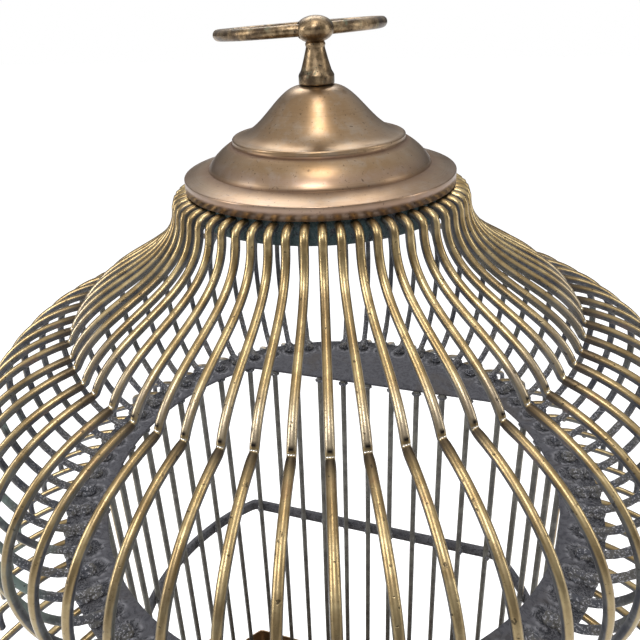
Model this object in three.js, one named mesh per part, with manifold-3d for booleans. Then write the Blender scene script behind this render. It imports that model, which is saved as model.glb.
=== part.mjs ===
// Bird cage on a stand: a wire dome under a spun cap, on a D-shaped wire body
// that lifts off its seed pan, which lifts off a four-legged stand.
// Millimetres, +Z up, the origin on the floor under the cage's axis, the front
// (door) towards -Y and the flat back towards +Y.
import * as THREE from "three";
import Module from "manifold-3d";

const wasm = await Module();
wasm.setup();
const { Manifold, Mesh } = wasm;

// ---- driving sizes -------------------------------------------------------
const GAP = 0.3; // clearance between pieces that touch or are soldered
const RUN_GAP = 0.35; // radial clearance round a turning piece

// heights of the big blocks, from the floor up
const STAND_H = 540;
const PAN_H = 42;
const BODY_H = 410; // foot of the body wires to the underside of the waist plate
const DOME_H = 203; // top of the waist plate to the edge of the cap's flange

// cap
const CAP_R = 70;
const CAP_T = 1.4;
const CAP_TOP_Z = 40.4; // above the flange's edge
const CAP_TOP_R = 9;
const CAP_STEP_R = 44;
const CAP_STEP_Z = 17.1;
const CAP_STEP_H = 2.7;
const CAP_BULGE_R = 57;
const CAP_BULGE_Z = 2.9;
const CAP_SKIRT_H = 6.3;

// finial and its ring
const STEM_R = 3;
const FINIAL_BASE_R = 8.8;
const FINIAL_BASE_H = 4.4;
const FINIAL_NECK_R = 4.5;
const BALL_R = 9.3;
const BALL_HALF_H = 6; // the ball is squashed from top to bottom
const BALL_Z = 65; // ball centre above the cap flange's edge
const RING_R = 43.8;
const RING_STOCK_R = 2.8;
const RING_TURN = 28.5; // the ball's hole is turned this far round the axis, degrees
const RING_TILT = -1; // how far the ring's far side stands up at rest, degrees
const RING_LEAN = 2; // the hole runs down this much towards the left, degrees
const NUT_AF_R = 6.4;
const NUT_H = 5;

// dome wires
const WIRES = 60;
const WIRES_PER_SECTION = 5;
const WIRE_D = 4.2;
const COLLAR_R = 67.5;
const COLLAR_T = 2;
const COLLAR_DEPTH = 18.4; // foot of the collar band below the flange's edge
const WIRE_TOP_R = 76;
const WIRE_TOP_Z = 12.2;
const KINK_R = 139.1;
const KINK_Z = 75.2;
const LOBE_R = 199.5;
const LOBE_Z = 136.5;
const FOOT_R = 158; // inner end of each wire's foot on the waist plate

// waist plate
const PLATE_R = 171;
const PLATE_T = 2;
const PLATE_HOLE_R = 146;
const BACK_Y = 104; // plane of the flat back's wires

// The eave: short wires that run out from under the waist plate.
const EAVE_R = 214;
const EAVE_DROP = 20; // waist plate's underside down to the outer ends' bend
const EAVE_HOOK = 12;
const EAVE_WIRE_D = 4;
const EAVE_FOOT_R = 157;
const EAVE_WIRES_PER_SECTION = 10;

// body
const BODY_TOP_R = 149.5;
const BODY_BASE_R = 164.5;
const BODY_WIRE_D = 4.6;
const BODY_PITCH = 8; // degrees between body wires
const BACK_PITCH = 20.5;
const RAIL_DROP = 168; // waist plate down to the middle of the rail
const RAIL_H = 10;
const RAIL_T = 4.5;
const HOOP_W = 8;
const HOOP_H = 6;
const STRIP_W = 5; // solder run that ties a row of wires together
const STRIP_H = 2.5;

// door
const POST_X = 52;
const POST_R = 2.6;
const DOOR_SILL = 40; // above the foot of the body wires
const DOOR_H = 122;
const DOOR_ROD_R = 1.8;
const DOOR_WIRE_D = 2.8;
const KNUCKLE_R = 4.6;
const KNUCKLE_L = 9;
const LATCH_L = 15;
const LATCH_T = 2;
const LATCH_HUB_R = 4;

// furniture
const PERCH_R = 6;
const CUP_R = 24;
const CUP_H = 40;
const CUP_T = 2.5;
const CUP_X = 116;

// pan and stand
const PAN_T = 1.5;
const PAN_R = 173;
const FRAME_W = 24;
const FRAME_T = 6;
const FRAME_LIP = 10;
const LEG_R = 6.5;
const FOOT_H = 18;
const FOOT_BALL_R = 11;
const LEG_FRONT = [115, -115, 142, -150]; // x, y at the top and x, y at the foot
const LEG_BACK = [108, 96, 142, 150];
const STRETCH_Z = 170;
const STRETCH_R = 4;
const SCREW_HEAD_R = 5;

// ---- levels worked out from the sizes above ------------------------------
const PAN_Z = STAND_H + GAP;
const HOOP_Z = PAN_Z + PAN_T + GAP;
const BODY_Z = HOOP_Z + HOOP_H + GAP;
const PLATE_Z = BODY_Z + BODY_H + GAP;
const CAP_Z = PLATE_Z + PLATE_T + DOME_H;
const deg = (d) => (d * Math.PI) / 180;

// ---- small tools ---------------------------------------------------------
const asSolid = (geometry) => {
  const g = geometry.index ? geometry.toNonIndexed() : geometry;
  const position = g.getAttribute("position").array;
  const keys = new Map();
  const verts = [];
  const tris = [];
  for (let i = 0; i < position.length; i += 3) {
    const p = [position[i], position[i + 1], position[i + 2]];
    const key = p.map((v) => Math.round(v * 1e4)).join();
    if (!keys.has(key)) {
      keys.set(key, keys.size);
      verts.push(...p);
    }
    tris.push(keys.get(key));
  }
  const kept = [];
  for (let i = 0; i < tris.length; i += 3) {
    const [a, b, c] = tris.slice(i, i + 3);
    if (a !== b && b !== c && c !== a) kept.push(a, b, c);
  }
  return new Manifold(
    new Mesh({
      numProp: 3,
      vertProperties: new Float32Array(verts),
      triVerts: new Uint32Array(kept),
    }),
  );
};

const asGeometry = (solid) => {
  const mesh = solid.getMesh();
  const geometry = new THREE.BufferGeometry();
  const points = new Float32Array(mesh.vertProperties);
  geometry.setAttribute("position", new THREE.BufferAttribute(points, 3));
  geometry.setIndex(Array.from(mesh.triVerts));
  return geometry;
};

const join = (...geometries) =>
  asGeometry(Manifold.union(geometries.flat().map(asSolid)));

const cut = (geometry, ...tools) =>
  asGeometry(asSolid(geometry).subtract(Manifold.union(tools.map(asSolid))));

// A straight round bar between two points.
const bar = (from, to, radius, sides = 4) => {
  const a = new THREE.Vector3(...from);
  const b = new THREE.Vector3(...to);
  const length = a.distanceTo(b);
  const g = new THREE.CylinderGeometry(radius, radius, length, sides);
  const up = new THREE.Vector3(0, 1, 0);
  const turn = new THREE.Quaternion().setFromUnitVectors(
    up,
    b.clone().sub(a).normalize(),
  );
  g.applyQuaternion(turn);
  const middle = a.add(b).multiplyScalar(0.5);
  return g.translate(middle.x, middle.y, middle.z);
};

// A square wire with the round wire's area, swept along a curve.
const wire = (curve, diameter, steps) => {
  const half = (diameter * Math.sqrt(Math.PI)) / 4;
  const section = new THREE.Shape([
    new THREE.Vector2(-half, -half),
    new THREE.Vector2(half, -half),
    new THREE.Vector2(half, half),
    new THREE.Vector2(-half, half),
  ]);
  return new THREE.ExtrudeGeometry(section, { steps, extrudePath: curve });
};

// A flat piece: a plan outline raised from z by height.
const slab = (shape, z, height, segments = 12) =>
  new THREE.ExtrudeGeometry(shape, {
    depth: height,
    bevelEnabled: false,
    curveSegments: segments,
  }).translate(0, 0, z);

// A profile of [radius, z] turned about the Z axis.
const turned = (profile, segments) =>
  new THREE.LatheGeometry(
    profile.map(([r, z]) => new THREE.Vector2(r, z)),
    segments,
  ).rotateX(Math.PI / 2);

// The D-shaped plan: a round front cut off by a straight back.
const dPlan = (radius, back) => {
  const corner = Math.asin(back / radius);
  const shape = new THREE.Shape();
  shape.absarc(0, 0, radius, Math.PI - corner, corner, false);
  shape.closePath();
  return shape;
};

const dRing = (radius, back, width, z, height, segments = 20) => {
  const shape = dPlan(radius, back);
  shape.holes.push(new THREE.Path(dPlan(radius - width, back - width).getPoints(segments)));
  return slab(shape, z, height, segments);
};

// A point at a radius and at an azimuth from the front, positive towards +X.
const around = (radius, azimuth, z) => [
  radius * Math.sin(deg(azimuth)),
  -radius * Math.cos(deg(azimuth)),
  z,
];

const vector = (p) => new THREE.Vector3(...p);

// ---- materials -----------------------------------------------------------
const metal = (color, roughness) =>
  new THREE.MeshStandardMaterial({ color, roughness, metalness: 1 });
const spunBrass = metal(0xa97b5a, 0.32);
const agedBrass = metal(0x8a7448, 0.42);
const darkSolder = metal(0x4c4a4d, 0.7);
const standBrass = metal(0x5d4a30, 0.5);
const wood = new THREE.MeshStandardMaterial({ color: 0x9a6b42, roughness: 0.6 });
const china = new THREE.MeshStandardMaterial({ color: 0xe9e4d6, roughness: 0.2 });

const root = new THREE.Group();
const add = (name, geometry, material, parent = root) => {
  const mesh = new THREE.Mesh(geometry, material);
  mesh.name = name;
  parent.add(mesh);
  return mesh;
};

// ---- cap, finial, ring ---------------------------------------------------
const capProfile = () => {
  const v = (r, z) => new THREE.Vector2(r, z);
  const reach = CAP_STEP_R - CAP_TOP_R;
  const stepTop = CAP_STEP_Z;
  const stepFoot = CAP_STEP_Z - CAP_STEP_H;
  const crown = new THREE.CubicBezierCurve(
    v(CAP_TOP_R, CAP_TOP_Z),
    v(CAP_TOP_R + 0.34 * reach, CAP_TOP_Z - 1.2),
    v(CAP_TOP_R + 0.56 * reach, stepTop + 1.2),
    v(CAP_STEP_R, stepTop),
  );
  const bulge = new THREE.CubicBezierCurve(
    v(CAP_STEP_R + 0.6, stepFoot),
    v(CAP_STEP_R + 4.5, stepFoot - 1.8),
    v(CAP_BULGE_R - 2.5, CAP_BULGE_Z + 5.1),
    v(CAP_BULGE_R, CAP_BULGE_Z),
  );
  return [
    ...crown.getPoints(6),
    ...bulge.getPoints(4),
    v(CAP_R, 0),
    v(CAP_R, -CAP_SKIRT_H),
  ];
};

function spunCap() {
  const outside = capProfile();
  const inside = outside.map((p, i) => {
    const before = outside[Math.max(i - 1, 0)];
    const after = outside[Math.min(i + 1, outside.length - 1)];
    const along = after.clone().sub(before).normalize();
    return new THREE.Vector2(p.x + along.y * CAP_T, p.y - along.x * CAP_T);
  });
  const bore = STEM_R + GAP;
  inside[0].y = CAP_TOP_Z - CAP_T;
  inside[inside.length - 1].set(CAP_R - CAP_T, -CAP_SKIRT_H);
  const loop = [
    [bore, CAP_TOP_Z],
    ...outside.map((p) => [p.x, p.y]),
    ...inside.reverse().map((p) => [p.x, p.y]),
    [bore, CAP_TOP_Z - CAP_T],
    [bore, CAP_TOP_Z],
  ].reverse();
  return turned(loop, 32).translate(0, 0, CAP_Z);
}

function finial() {
  const foot = CAP_TOP_Z + GAP;
  const stem = CAP_TOP_Z - CAP_T - NUT_H - 3;
  const ball = [];
  for (let i = 1; i <= 8; i++) {
    const a = deg(-58 + (148 * i) / 8);
    ball.push([BALL_R * Math.cos(a), BALL_Z + BALL_HALF_H * Math.sin(a)]);
  }
  const neckZ = BALL_Z - BALL_HALF_H + 0.6;
  const body = turned(
    [
      [0, stem],
      [STEM_R, stem],
      [STEM_R, foot],
      [FINIAL_BASE_R, foot],
      [FINIAL_BASE_R, foot + FINIAL_BASE_H],
      [FINIAL_BASE_R - 1.4, foot + FINIAL_BASE_H + 2],
      [FINIAL_NECK_R + 1.2, foot + FINIAL_BASE_H + 7],
      [FINIAL_NECK_R, neckZ - 2],
      [FINIAL_NECK_R, neckZ],
      ...ball.slice(0, -1),
      [0, BALL_Z + BALL_HALF_H],
    ],
    18,
  );
  const holeR = RING_STOCK_R + RUN_GAP + (BALL_R * BALL_R) / (4 * RING_R);
  const hole = new THREE.CylinderGeometry(holeR, holeR, 4 * BALL_R, 16)
    .rotateZ(Math.PI / 2)
    .rotateY(deg(-RING_LEAN))
    .rotateZ(deg(RING_TURN))
    .translate(0, 0, BALL_Z);
  return cut(body, hole).translate(0, 0, CAP_Z);
}

function finialNut() {
  const top = CAP_TOP_Z - CAP_T - GAP;
  const nut = new THREE.CylinderGeometry(NUT_AF_R, NUT_AF_R, NUT_H, 6)
    .rotateX(Math.PI / 2)
    .translate(0, 0, top - NUT_H / 2);
  const bore = new THREE.CylinderGeometry(STEM_R + GAP, STEM_R + GAP, 4 * NUT_H, 16)
    .rotateX(Math.PI / 2)
    .translate(0, 0, top - NUT_H / 2);
  return cut(nut, bore).translate(0, 0, CAP_Z);
}

// The ring lies back from the ball; its stock sits centrally in the hole.
function topRing() {
  const sag = (BALL_R * BALL_R) / (4 * RING_R);
  return new THREE.TorusGeometry(RING_R, RING_STOCK_R, 8, 32)
    .translate(0, RING_R - sag, 0)
    .rotateX(deg(RING_TILT))
    .rotateY(deg(-RING_LEAN))
    .rotateZ(deg(RING_TURN))
    .translate(0, 0, CAP_Z + BALL_Z);
}

function collarBand() {
  const top = CAP_Z - CAP_SKIRT_H + 4;
  const height = COLLAR_DEPTH - CAP_SKIRT_H + 4;
  const shape = new THREE.Shape().absarc(0, 0, COLLAR_R, 0, 2 * Math.PI);
  shape.holes.push(new THREE.Path().absarc(0, 0, COLLAR_R - COLLAR_T, 0, 2 * Math.PI));
  return slab(shape, top - height, height, 20);
}

// ---- dome wires ----------------------------------------------------------
// One wire in its own upright plane: out of the collar, down the ogee to the
// kink, then out round the lobe and back to its foot on the waist plate.
function domeWire(azimuth) {
  const at = (r, drop) => vector(around(r, azimuth, CAP_Z - drop));
  const tip = COLLAR_R + GAP + 0.1;
  const start = CAP_SKIRT_H + WIRE_D / 2 + 2 * GAP;
  const upper = new THREE.CurvePath();
  upper.add(
    new THREE.QuadraticBezierCurve3(
      at(tip, start),
      at(WIRE_TOP_R - 1.8, start),
      at(WIRE_TOP_R, WIRE_TOP_Z),
    ),
  );
  const fall = KINK_Z - WIRE_TOP_Z;
  const flare = KINK_R - WIRE_TOP_R;
  upper.add(
    new THREE.CubicBezierCurve3(
      at(WIRE_TOP_R, WIRE_TOP_Z),
      at(WIRE_TOP_R + 0.016 * flare, WIRE_TOP_Z + 0.54 * fall),
      at(KINK_R - 0.2 * flare, WIRE_TOP_Z + 0.585 * fall),
      at(KINK_R, KINK_Z),
    ),
  );
  const swell = LOBE_R - KINK_R;
  const drop = LOBE_Z - KINK_Z;
  const shoulder = new THREE.CubicBezierCurve3(
    at(KINK_R - 0.6, KINK_Z - 0.2),
    at(KINK_R + 0.6 * swell, KINK_Z + 0.11 * drop),
    at(LOBE_R, KINK_Z + 0.46 * drop),
    at(LOBE_R, LOBE_Z),
  );
  const footZ = DOME_H - WIRE_D / 2 - GAP;
  const belly = new THREE.CubicBezierCurve3(
    at(LOBE_R, LOBE_Z),
    at(LOBE_R, LOBE_Z + 0.49 * (footZ - LOBE_Z)),
    at(LOBE_R - 0.42 * (LOBE_R - FOOT_R), footZ),
    at(FOOT_R, footZ),
  );
  const lower = new THREE.CurvePath();
  lower.add(shoulder);
  lower.add(belly);
  return [wire(upper, WIRE_D, 6), wire(lower, WIRE_D, 6)];
}

function domeSection(index) {
  const pitch = 360 / WIRES;
  const first = index * WIRES_PER_SECTION;
  const wires = [];
  for (let i = 0; i < WIRES_PER_SECTION; i++) wires.push(...domeWire((first + i) * pitch));
  const span = deg((WIRES_PER_SECTION - 1) * pitch) + 0.03;
  const start = deg(first * pitch) - 0.015 - Math.PI / 2;
  const run = new THREE.Shape();
  run.absarc(0, 0, FOOT_R + STRIP_W + 1, start, start + span, false);
  run.absarc(0, 0, FOOT_R + 1, start + span, start, true);
  run.closePath();
  return join(wires, slab(run, PLATE_Z + PLATE_T + GAP, STRIP_H, 4));
}

function waistPlate() {
  const shape = new THREE.Shape().absarc(0, 0, PLATE_R, 0, 2 * Math.PI);
  shape.holes.push(new THREE.Path(dPlan(PLATE_HOLE_R, BACK_Y).getPoints(28)));
  return slab(shape, PLATE_Z, PLATE_T, 20);
}

// One eave wire: out under the plate, down the eave and into a hook.
function eaveWire(azimuth) {
  const under = PLATE_Z - GAP - 0.2 - EAVE_WIRE_D / 2;
  const at = (r, drop) => vector(around(r, azimuth, under - drop));
  const flare = EAVE_R - PLATE_R;
  const slope = new THREE.CubicBezierCurve3(
    at(EAVE_FOOT_R + STRIP_W / 2, 0),
    at(PLATE_R + 0.2 * flare, 0),
    at(PLATE_R + 0.55 * flare, 0.45 * EAVE_DROP),
    at(EAVE_R - 3, 0.9 * EAVE_DROP),
  );
  const hook = new THREE.QuadraticBezierCurve3(
    at(EAVE_R - 3, 0.9 * EAVE_DROP),
    at(EAVE_R, EAVE_DROP),
    at(EAVE_R, EAVE_DROP + EAVE_HOOK),
  );
  const path = new THREE.CurvePath();
  path.add(slope);
  path.add(hook);
  return wire(path, EAVE_WIRE_D, 4);
}

function eaveSection(index) {
  const pitch = 360 / WIRES;
  const first = index * EAVE_WIRES_PER_SECTION;
  const wires = [];
  for (let i = 0; i < EAVE_WIRES_PER_SECTION; i++) wires.push(eaveWire((first + i) * pitch));
  const span = deg((EAVE_WIRES_PER_SECTION - 1) * pitch) + 0.03;
  const start = deg(first * pitch) - 0.015 - Math.PI / 2;
  const run = new THREE.Shape();
  run.absarc(0, 0, EAVE_FOOT_R + STRIP_W, start, start + span, false);
  run.absarc(0, 0, EAVE_FOOT_R, start + span, start, true);
  run.closePath();
  const height = EAVE_WIRE_D + 0.4;
  return join(wires, slab(run, PLATE_Z - GAP - height, height, 6));
}

// ---- body wires ----------------------------------------------------------
const bodyTop = BODY_Z + BODY_H;

// A row of leaning wires on the round side, tied by a run of solder at the foot.
function sideWires(from, to) {
  const wires = [];
  for (let a = from; a <= to + 0.01; a += BODY_PITCH) {
    wires.push(bar(around(BODY_BASE_R, a, BODY_Z), around(BODY_TOP_R, a, bodyTop), BODY_WIRE_D / 2));
  }
  const start = deg(from) - 0.014 - Math.PI / 2;
  const end = deg(to) + 0.014 - Math.PI / 2;
  const run = new THREE.Shape();
  run.absarc(0, 0, BODY_BASE_R + STRIP_W / 2, start, end, false);
  run.absarc(0, 0, BODY_BASE_R - STRIP_W / 2, end, start, true);
  run.closePath();
  return join(wires, slab(run, BODY_Z, STRIP_H, 8));
}

function backWires() {
  const spread = BODY_BASE_R / BODY_TOP_R;
  const cornerTop = Math.sqrt(BODY_TOP_R ** 2 - BACK_Y ** 2) - 2;
  const xs = [-cornerTop, cornerTop];
  const count = Math.floor((cornerTop - BACK_PITCH / 2) / BACK_PITCH);
  for (let i = -count; i <= count; i++) xs.push(i * BACK_PITCH);
  const wires = xs.map((x) =>
    bar([x * spread, BACK_Y, BODY_Z], [x, BACK_Y, bodyTop], BODY_WIRE_D / 2),
  );
  const reach = cornerTop * spread + 2;
  const run = new THREE.BoxGeometry(2 * reach, STRIP_W, STRIP_H).translate(
    0,
    BACK_Y,
    BODY_Z + STRIP_H / 2,
  );
  return join(wires, run);
}

const postFootY = -Math.sqrt(BODY_BASE_R ** 2 - POST_X ** 2);
const postTopY = -Math.sqrt(BODY_TOP_R ** 2 - POST_X ** 2);
const postLean = Math.atan((postTopY - postFootY) / BODY_H);
// y of the door's plane at a height above the foot of the body wires
const doorPlane = (h) => postFootY + h * Math.tan(postLean);

// Posts, sill, header and the short wires above and below the door.
function doorFrame() {
  const pieces = [];
  for (const x of [-POST_X, POST_X]) {
    pieces.push(bar([x, postFootY, BODY_Z], [x, postTopY, bodyTop], POST_R, 12));
  }
  const header = DOOR_SILL + DOOR_H;
  for (const h of [DOOR_SILL, header]) {
    const [y, z] = [doorPlane(h), BODY_Z + h];
    pieces.push(bar([-POST_X, y, z], [POST_X, y, z], DOOR_ROD_R));
  }
  for (const a of [-1.5, -0.5, 0.5, 1.5]) {
    const azimuth = a * BODY_PITCH;
    const x = BODY_BASE_R * Math.sin(deg(azimuth));
    pieces.push(bar([x, postFootY, BODY_Z], [x, doorPlane(DOOR_SILL), BODY_Z + DOOR_SILL], BODY_WIRE_D / 2));
    pieces.push(bar([x, doorPlane(header), BODY_Z + header], around(BODY_TOP_R, azimuth, bodyTop), BODY_WIRE_D / 2));
  }
  pieces.push(
    new THREE.BoxGeometry(2 * POST_X + 4, STRIP_W, STRIP_H).translate(
      0,
      postFootY,
      BODY_Z + STRIP_H / 2,
    ),
  );
  const y = doorPlane(latchH());
  const z = BODY_Z + latchH();
  const headOut = latchOut() + LATCH_T + GAP;
  pieces.push(bar([POST_X, y, z], [POST_X, y - headOut - 1, z], 1.6, 12));
  pieces.push(bar([POST_X, y - headOut, z], [POST_X, y - headOut - 1.2, z], 3, 12));
  return join(pieces);
}

const latchH = () => DOOR_SILL + DOOR_H * 0.55;

// The button hangs upright beside a leaning post, so it stands off by the lean.
const latchOut = () => POST_R + GAP + (LATCH_L + 3) * Math.tan(postLean);

// The door is drawn upright in its own group, which leans with the posts.
const doorGroup = new THREE.Group();
doorGroup.position.set(0, postFootY, BODY_Z);
doorGroup.rotation.x = -postLean;
root.add(doorGroup);

function door() {
  const left = -POST_X + KNUCKLE_R + DOOR_ROD_R - 0.9;
  const right = POST_X - LATCH_HUB_R - DOOR_ROD_R - 1.2;
  const foot = DOOR_SILL / Math.cos(postLean) + 2 * DOOR_ROD_R + 1.2;
  const head = (DOOR_SILL + DOOR_H) / Math.cos(postLean) - 2 * DOOR_ROD_R - 1.2;
  const pieces = [
    bar([left, 0, foot], [left, 0, head], DOOR_ROD_R, 8),
    bar([right, 0, foot], [right, 0, head], DOOR_ROD_R, 8),
    bar([left - 1, 0, foot], [right + 1, 0, foot], DOOR_ROD_R, 8),
    bar([left - 1, 0, head], [right + 1, 0, head], DOOR_ROD_R, 8),
  ];
  for (let i = 1; i <= 4; i++) {
    const x = left + ((right - left) * i) / 5;
    pieces.push(bar([x, 0, foot], [x, 0, head], DOOR_WIRE_D / 2));
  }
  const bores = [];
  for (const h of [foot + 16, head - 16]) {
    const [a, b] = [h - KNUCKLE_L / 2, h + KNUCKLE_L / 2];
    pieces.push(bar([-POST_X, 0, a], [-POST_X, 0, b], KNUCKLE_R, 12));
    bores.push(bar([-POST_X, 0, a - 1], [-POST_X, 0, b + 1], POST_R + RUN_GAP, 12));
  }
  return cut(join(pieces), ...bores);
}

// A turn button on a stud on the right-hand post. It hangs clear of the door at
// rest, and a quarter turn lays it across the door's stile.
function doorLatch() {
  const plane = new THREE.Shape();
  plane.absarc(0, 0, LATCH_HUB_R, -Math.PI / 2, Math.PI / 2, false);
  plane.lineTo(-LATCH_L, 2.4);
  plane.absarc(-LATCH_L, 0, 2.4, Math.PI / 2, (3 * Math.PI) / 2, false);
  plane.closePath();
  plane.holes.push(new THREE.Path().absarc(0, 0, 1.6 + RUN_GAP, 0, 2 * Math.PI));
  const h = latchH();
  return slab(plane, 0, LATCH_T, 8)
    .rotateX(Math.PI / 2)
    .rotateY(-Math.PI / 2)
    .translate(POST_X, doorPlane(h) - latchOut(), BODY_Z + h);
}

function lowerRail() {
  const z = bodyTop - RAIL_DROP;
  const share = (z - BODY_Z - RAIL_H / 2) / BODY_H;
  const wireR = BODY_BASE_R + (BODY_TOP_R - BODY_BASE_R) * share + BODY_WIRE_D / 2;
  const back = BACK_Y + BODY_WIRE_D / 2 + GAP + RAIL_T;
  const clear = wireR + GAP + RAIL_T + (POST_R - BODY_WIRE_D / 2);
  return dRing(clear, back, RAIL_T, z - RAIL_H / 2, RAIL_H);
}

function baseHoop() {
  return dRing(BODY_BASE_R + HOOP_W / 2, BACK_Y + HOOP_W / 2, HOOP_W, HOOP_Z, HOOP_H);
}

// ---- perches and cups ----------------------------------------------------
// A perch reaches across to the wires on each side.
function perch(y, h) {
  const share = (h + PERCH_R) / BODY_H;
  const wall = BODY_BASE_R + (BODY_TOP_R - BODY_BASE_R) * share - BODY_WIRE_D / 2 - GAP;
  const half = Math.sqrt(wall ** 2 - (Math.abs(y) + PERCH_R) ** 2);
  return bar([-half, y, BODY_Z + h], [half, y, BODY_Z + h], PERCH_R, 14);
}

const CUP_BASE = 38; // underside of a cup above the foot of the body wires
const CUP_RIM = 4;

function feederCup(side) {
  const z = BODY_Z + CUP_BASE;
  return turned(
    [
      [0, 0],
      [CUP_R - 5, 0],
      [CUP_R, CUP_H - 6],
      [CUP_R + CUP_RIM, CUP_H - 4],
      [CUP_R + CUP_RIM, CUP_H],
      [CUP_R - CUP_T + 1.5, CUP_H],
      [CUP_R - 5 - CUP_T, CUP_T],
      [0, CUP_T],
    ],
    20,
  ).translate(side * CUP_X, -8, z);
}

// A ring that carries the cup's rim, with two arms out to the body wires.
function cupHolder(side) {
  const z = BODY_Z + CUP_BASE + CUP_H - 10.5;
  const ring = new THREE.Shape().absarc(0, 0, CUP_R + 3.4, 0, 2 * Math.PI);
  ring.holes.push(new THREE.Path().absarc(0, 0, CUP_R + GAP, 0, 2 * Math.PI));
  const share = (z - BODY_Z) / BODY_H;
  const wall = BODY_BASE_R + (BODY_TOP_R - BODY_BASE_R) * share - BODY_WIRE_D / 2 - 1.2;
  const arms = [-12, 12].map((dy) => {
    const y = -8 + dy;
    const end = Math.sqrt(wall ** 2 - y ** 2);
    return bar([side * (CUP_X + CUP_R - 1.5), y, z + 1.5], [side * end, y, z + 1.5], 1.5, 8);
  });
  return join(slab(ring, z, 3, 12).translate(side * CUP_X, -8, 0), arms);
}

// ---- pan and stand -------------------------------------------------------
const panBack = BACK_Y + HOOP_W / 2 + 4;

function seedPan() {
  const floor = slab(dPlan(PAN_R, panBack), PAN_Z, PAN_T, 20);
  return join(floor, dRing(PAN_R, panBack, PAN_T, PAN_Z, PAN_H));
}

function standFrame() {
  const outer = PAN_R + GAP + 3.5;
  const back = panBack + GAP + 3.5;
  const bed = dRing(outer, back, FRAME_W, STAND_H - FRAME_T, FRAME_T);
  const lip = dRing(outer, back, 3, STAND_H - FRAME_T, FRAME_T + FRAME_LIP);
  let body = join(bed, lip);
  const holes = legs().map(([, x, y]) =>
    new THREE.CylinderGeometry(STEM_R, STEM_R, 4 * FRAME_T, 12)
      .rotateX(Math.PI / 2)
      .translate(x, y, STAND_H - FRAME_T / 2),
  );
  const sinks = legs().map(([, x, y]) =>
    new THREE.CylinderGeometry(SCREW_HEAD_R + GAP, SCREW_HEAD_R + GAP, 6, 12)
      .rotateX(Math.PI / 2)
      .translate(x, y, STAND_H),
  );
  body = cut(body, ...holes, ...sinks);
  return body;
}

function legs() {
  const list = [];
  for (const [end, [tx, ty, fx, fy]] of [["front", LEG_FRONT], ["back", LEG_BACK]]) {
    for (const [hand, s] of [["left", -1], ["right", 1]]) {
      list.push([`${end}_${hand}`, s * tx, ty, s * fx, fy]);
    }
  }
  return list;
}

const legTop = STAND_H - FRAME_T - GAP;
const legFoot = FOOT_H + GAP;

// A leg is cut level at both ends, with a blind hole for its screw.
function leg([, tx, ty, fx, fy]) {
  const slope = [(tx - fx) / (legTop - legFoot), (ty - fy) / (legTop - legFoot)];
  const over = 12;
  const body = bar(
    [fx - slope[0] * over, fy - slope[1] * over, legFoot - over],
    [tx + slope[0] * over, ty + slope[1] * over, legTop + over],
    LEG_R,
    12,
  );
  const trim = (z) => new THREE.BoxGeometry(60, 60, 60).translate(0, 0, z);
  const above = trim(legTop + 30).translate(tx, ty, 0);
  const below = trim(legFoot - 30).translate(fx, fy, 0);
  const bore = new THREE.CylinderGeometry(STEM_R, STEM_R, 44, 12)
    .rotateX(Math.PI / 2)
    .translate(tx, ty, legTop);
  return cut(body, above, below, bore);
}

function legScrew([, x, y]) {
  const shank = STEM_R - GAP;
  const top = STAND_H - 0.6;
  return turned(
    [
      [0, legTop - 18],
      [shank, legTop - 18],
      [shank, top - 2.1],
      [SCREW_HEAD_R, top - 2.1],
      [SCREW_HEAD_R, top],
      [0, top],
    ],
    12,
  ).translate(x, y, 0);
}

function foot([, , , fx, fy]) {
  const pad = FOOT_BALL_R * 0.7;
  return turned(
    [
      [0, 0],
      [pad, 0],
      [FOOT_BALL_R, FOOT_H * 0.35],
      [FOOT_BALL_R, FOOT_H * 0.55],
      [pad, FOOT_H * 0.85],
      [pad, FOOT_H],
      [0, FOOT_H],
    ],
    12,
  ).translate(fx, fy, 0);
}

// The centre of a leg at a height.
const legAt = ([, tx, ty, fx, fy], z) => {
  const t = (z - legFoot) / (legTop - legFoot);
  return [fx + (tx - fx) * t, fy + (ty - fy) * t, z];
};

function stretcher(from, to) {
  const a = vector(legAt(from, STRETCH_Z));
  const b = vector(legAt(to, STRETCH_Z));
  const [, tx, ty, fx, fy] = from;
  const lean = Math.hypot(tx - fx, ty - fy) / (legTop - legFoot);
  const clear = LEG_R * Math.hypot(1, lean) + STRETCH_R * lean + GAP;
  const inset = b.clone().sub(a).normalize().multiplyScalar(clear);
  return bar(a.add(inset).toArray(), b.sub(inset).toArray(), STRETCH_R, 10);
}

// ---- the object ----------------------------------------------------------
add("top_ring", topRing(), agedBrass);
add("finial", finial(), agedBrass);
add("finial_nut", finialNut(), agedBrass);
add("spun_cap", spunCap(), spunBrass);
add("collar_band", collarBand(), darkSolder);
for (let i = 0; i < WIRES / WIRES_PER_SECTION; i++) {
  add(`dome_wires_${String(i + 1).padStart(2, "0")}`, domeSection(i), agedBrass);
}
add("waist_plate", waistPlate(), darkSolder);
for (let i = 0; i < WIRES / EAVE_WIRES_PER_SECTION; i++) {
  add(`eave_wires_${i + 1}`, eaveSection(i), agedBrass);
}
const lastSide = 28 + 12 * BODY_PITCH;
const splitSide = 28 + 6 * BODY_PITCH;
add("body_wires_right_front", sideWires(28, splitSide), agedBrass);
add("body_wires_right_rear", sideWires(splitSide + BODY_PITCH, lastSide), agedBrass);
add("body_wires_left_front", sideWires(-splitSide, -28), agedBrass);
add("body_wires_left_rear", sideWires(-lastSide, -splitSide - BODY_PITCH), agedBrass);
add("body_wires_back", backWires(), agedBrass);
add("door_frame", doorFrame(), agedBrass);
add("door", door(), agedBrass, doorGroup);
add("door_latch", doorLatch(), agedBrass);
add("lower_rail", lowerRail(), darkSolder);
add("base_hoop", baseHoop(), darkSolder);
add("perch_front", perch(-52, 88), wood);
add("perch_rear", perch(34, 108), wood);
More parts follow.
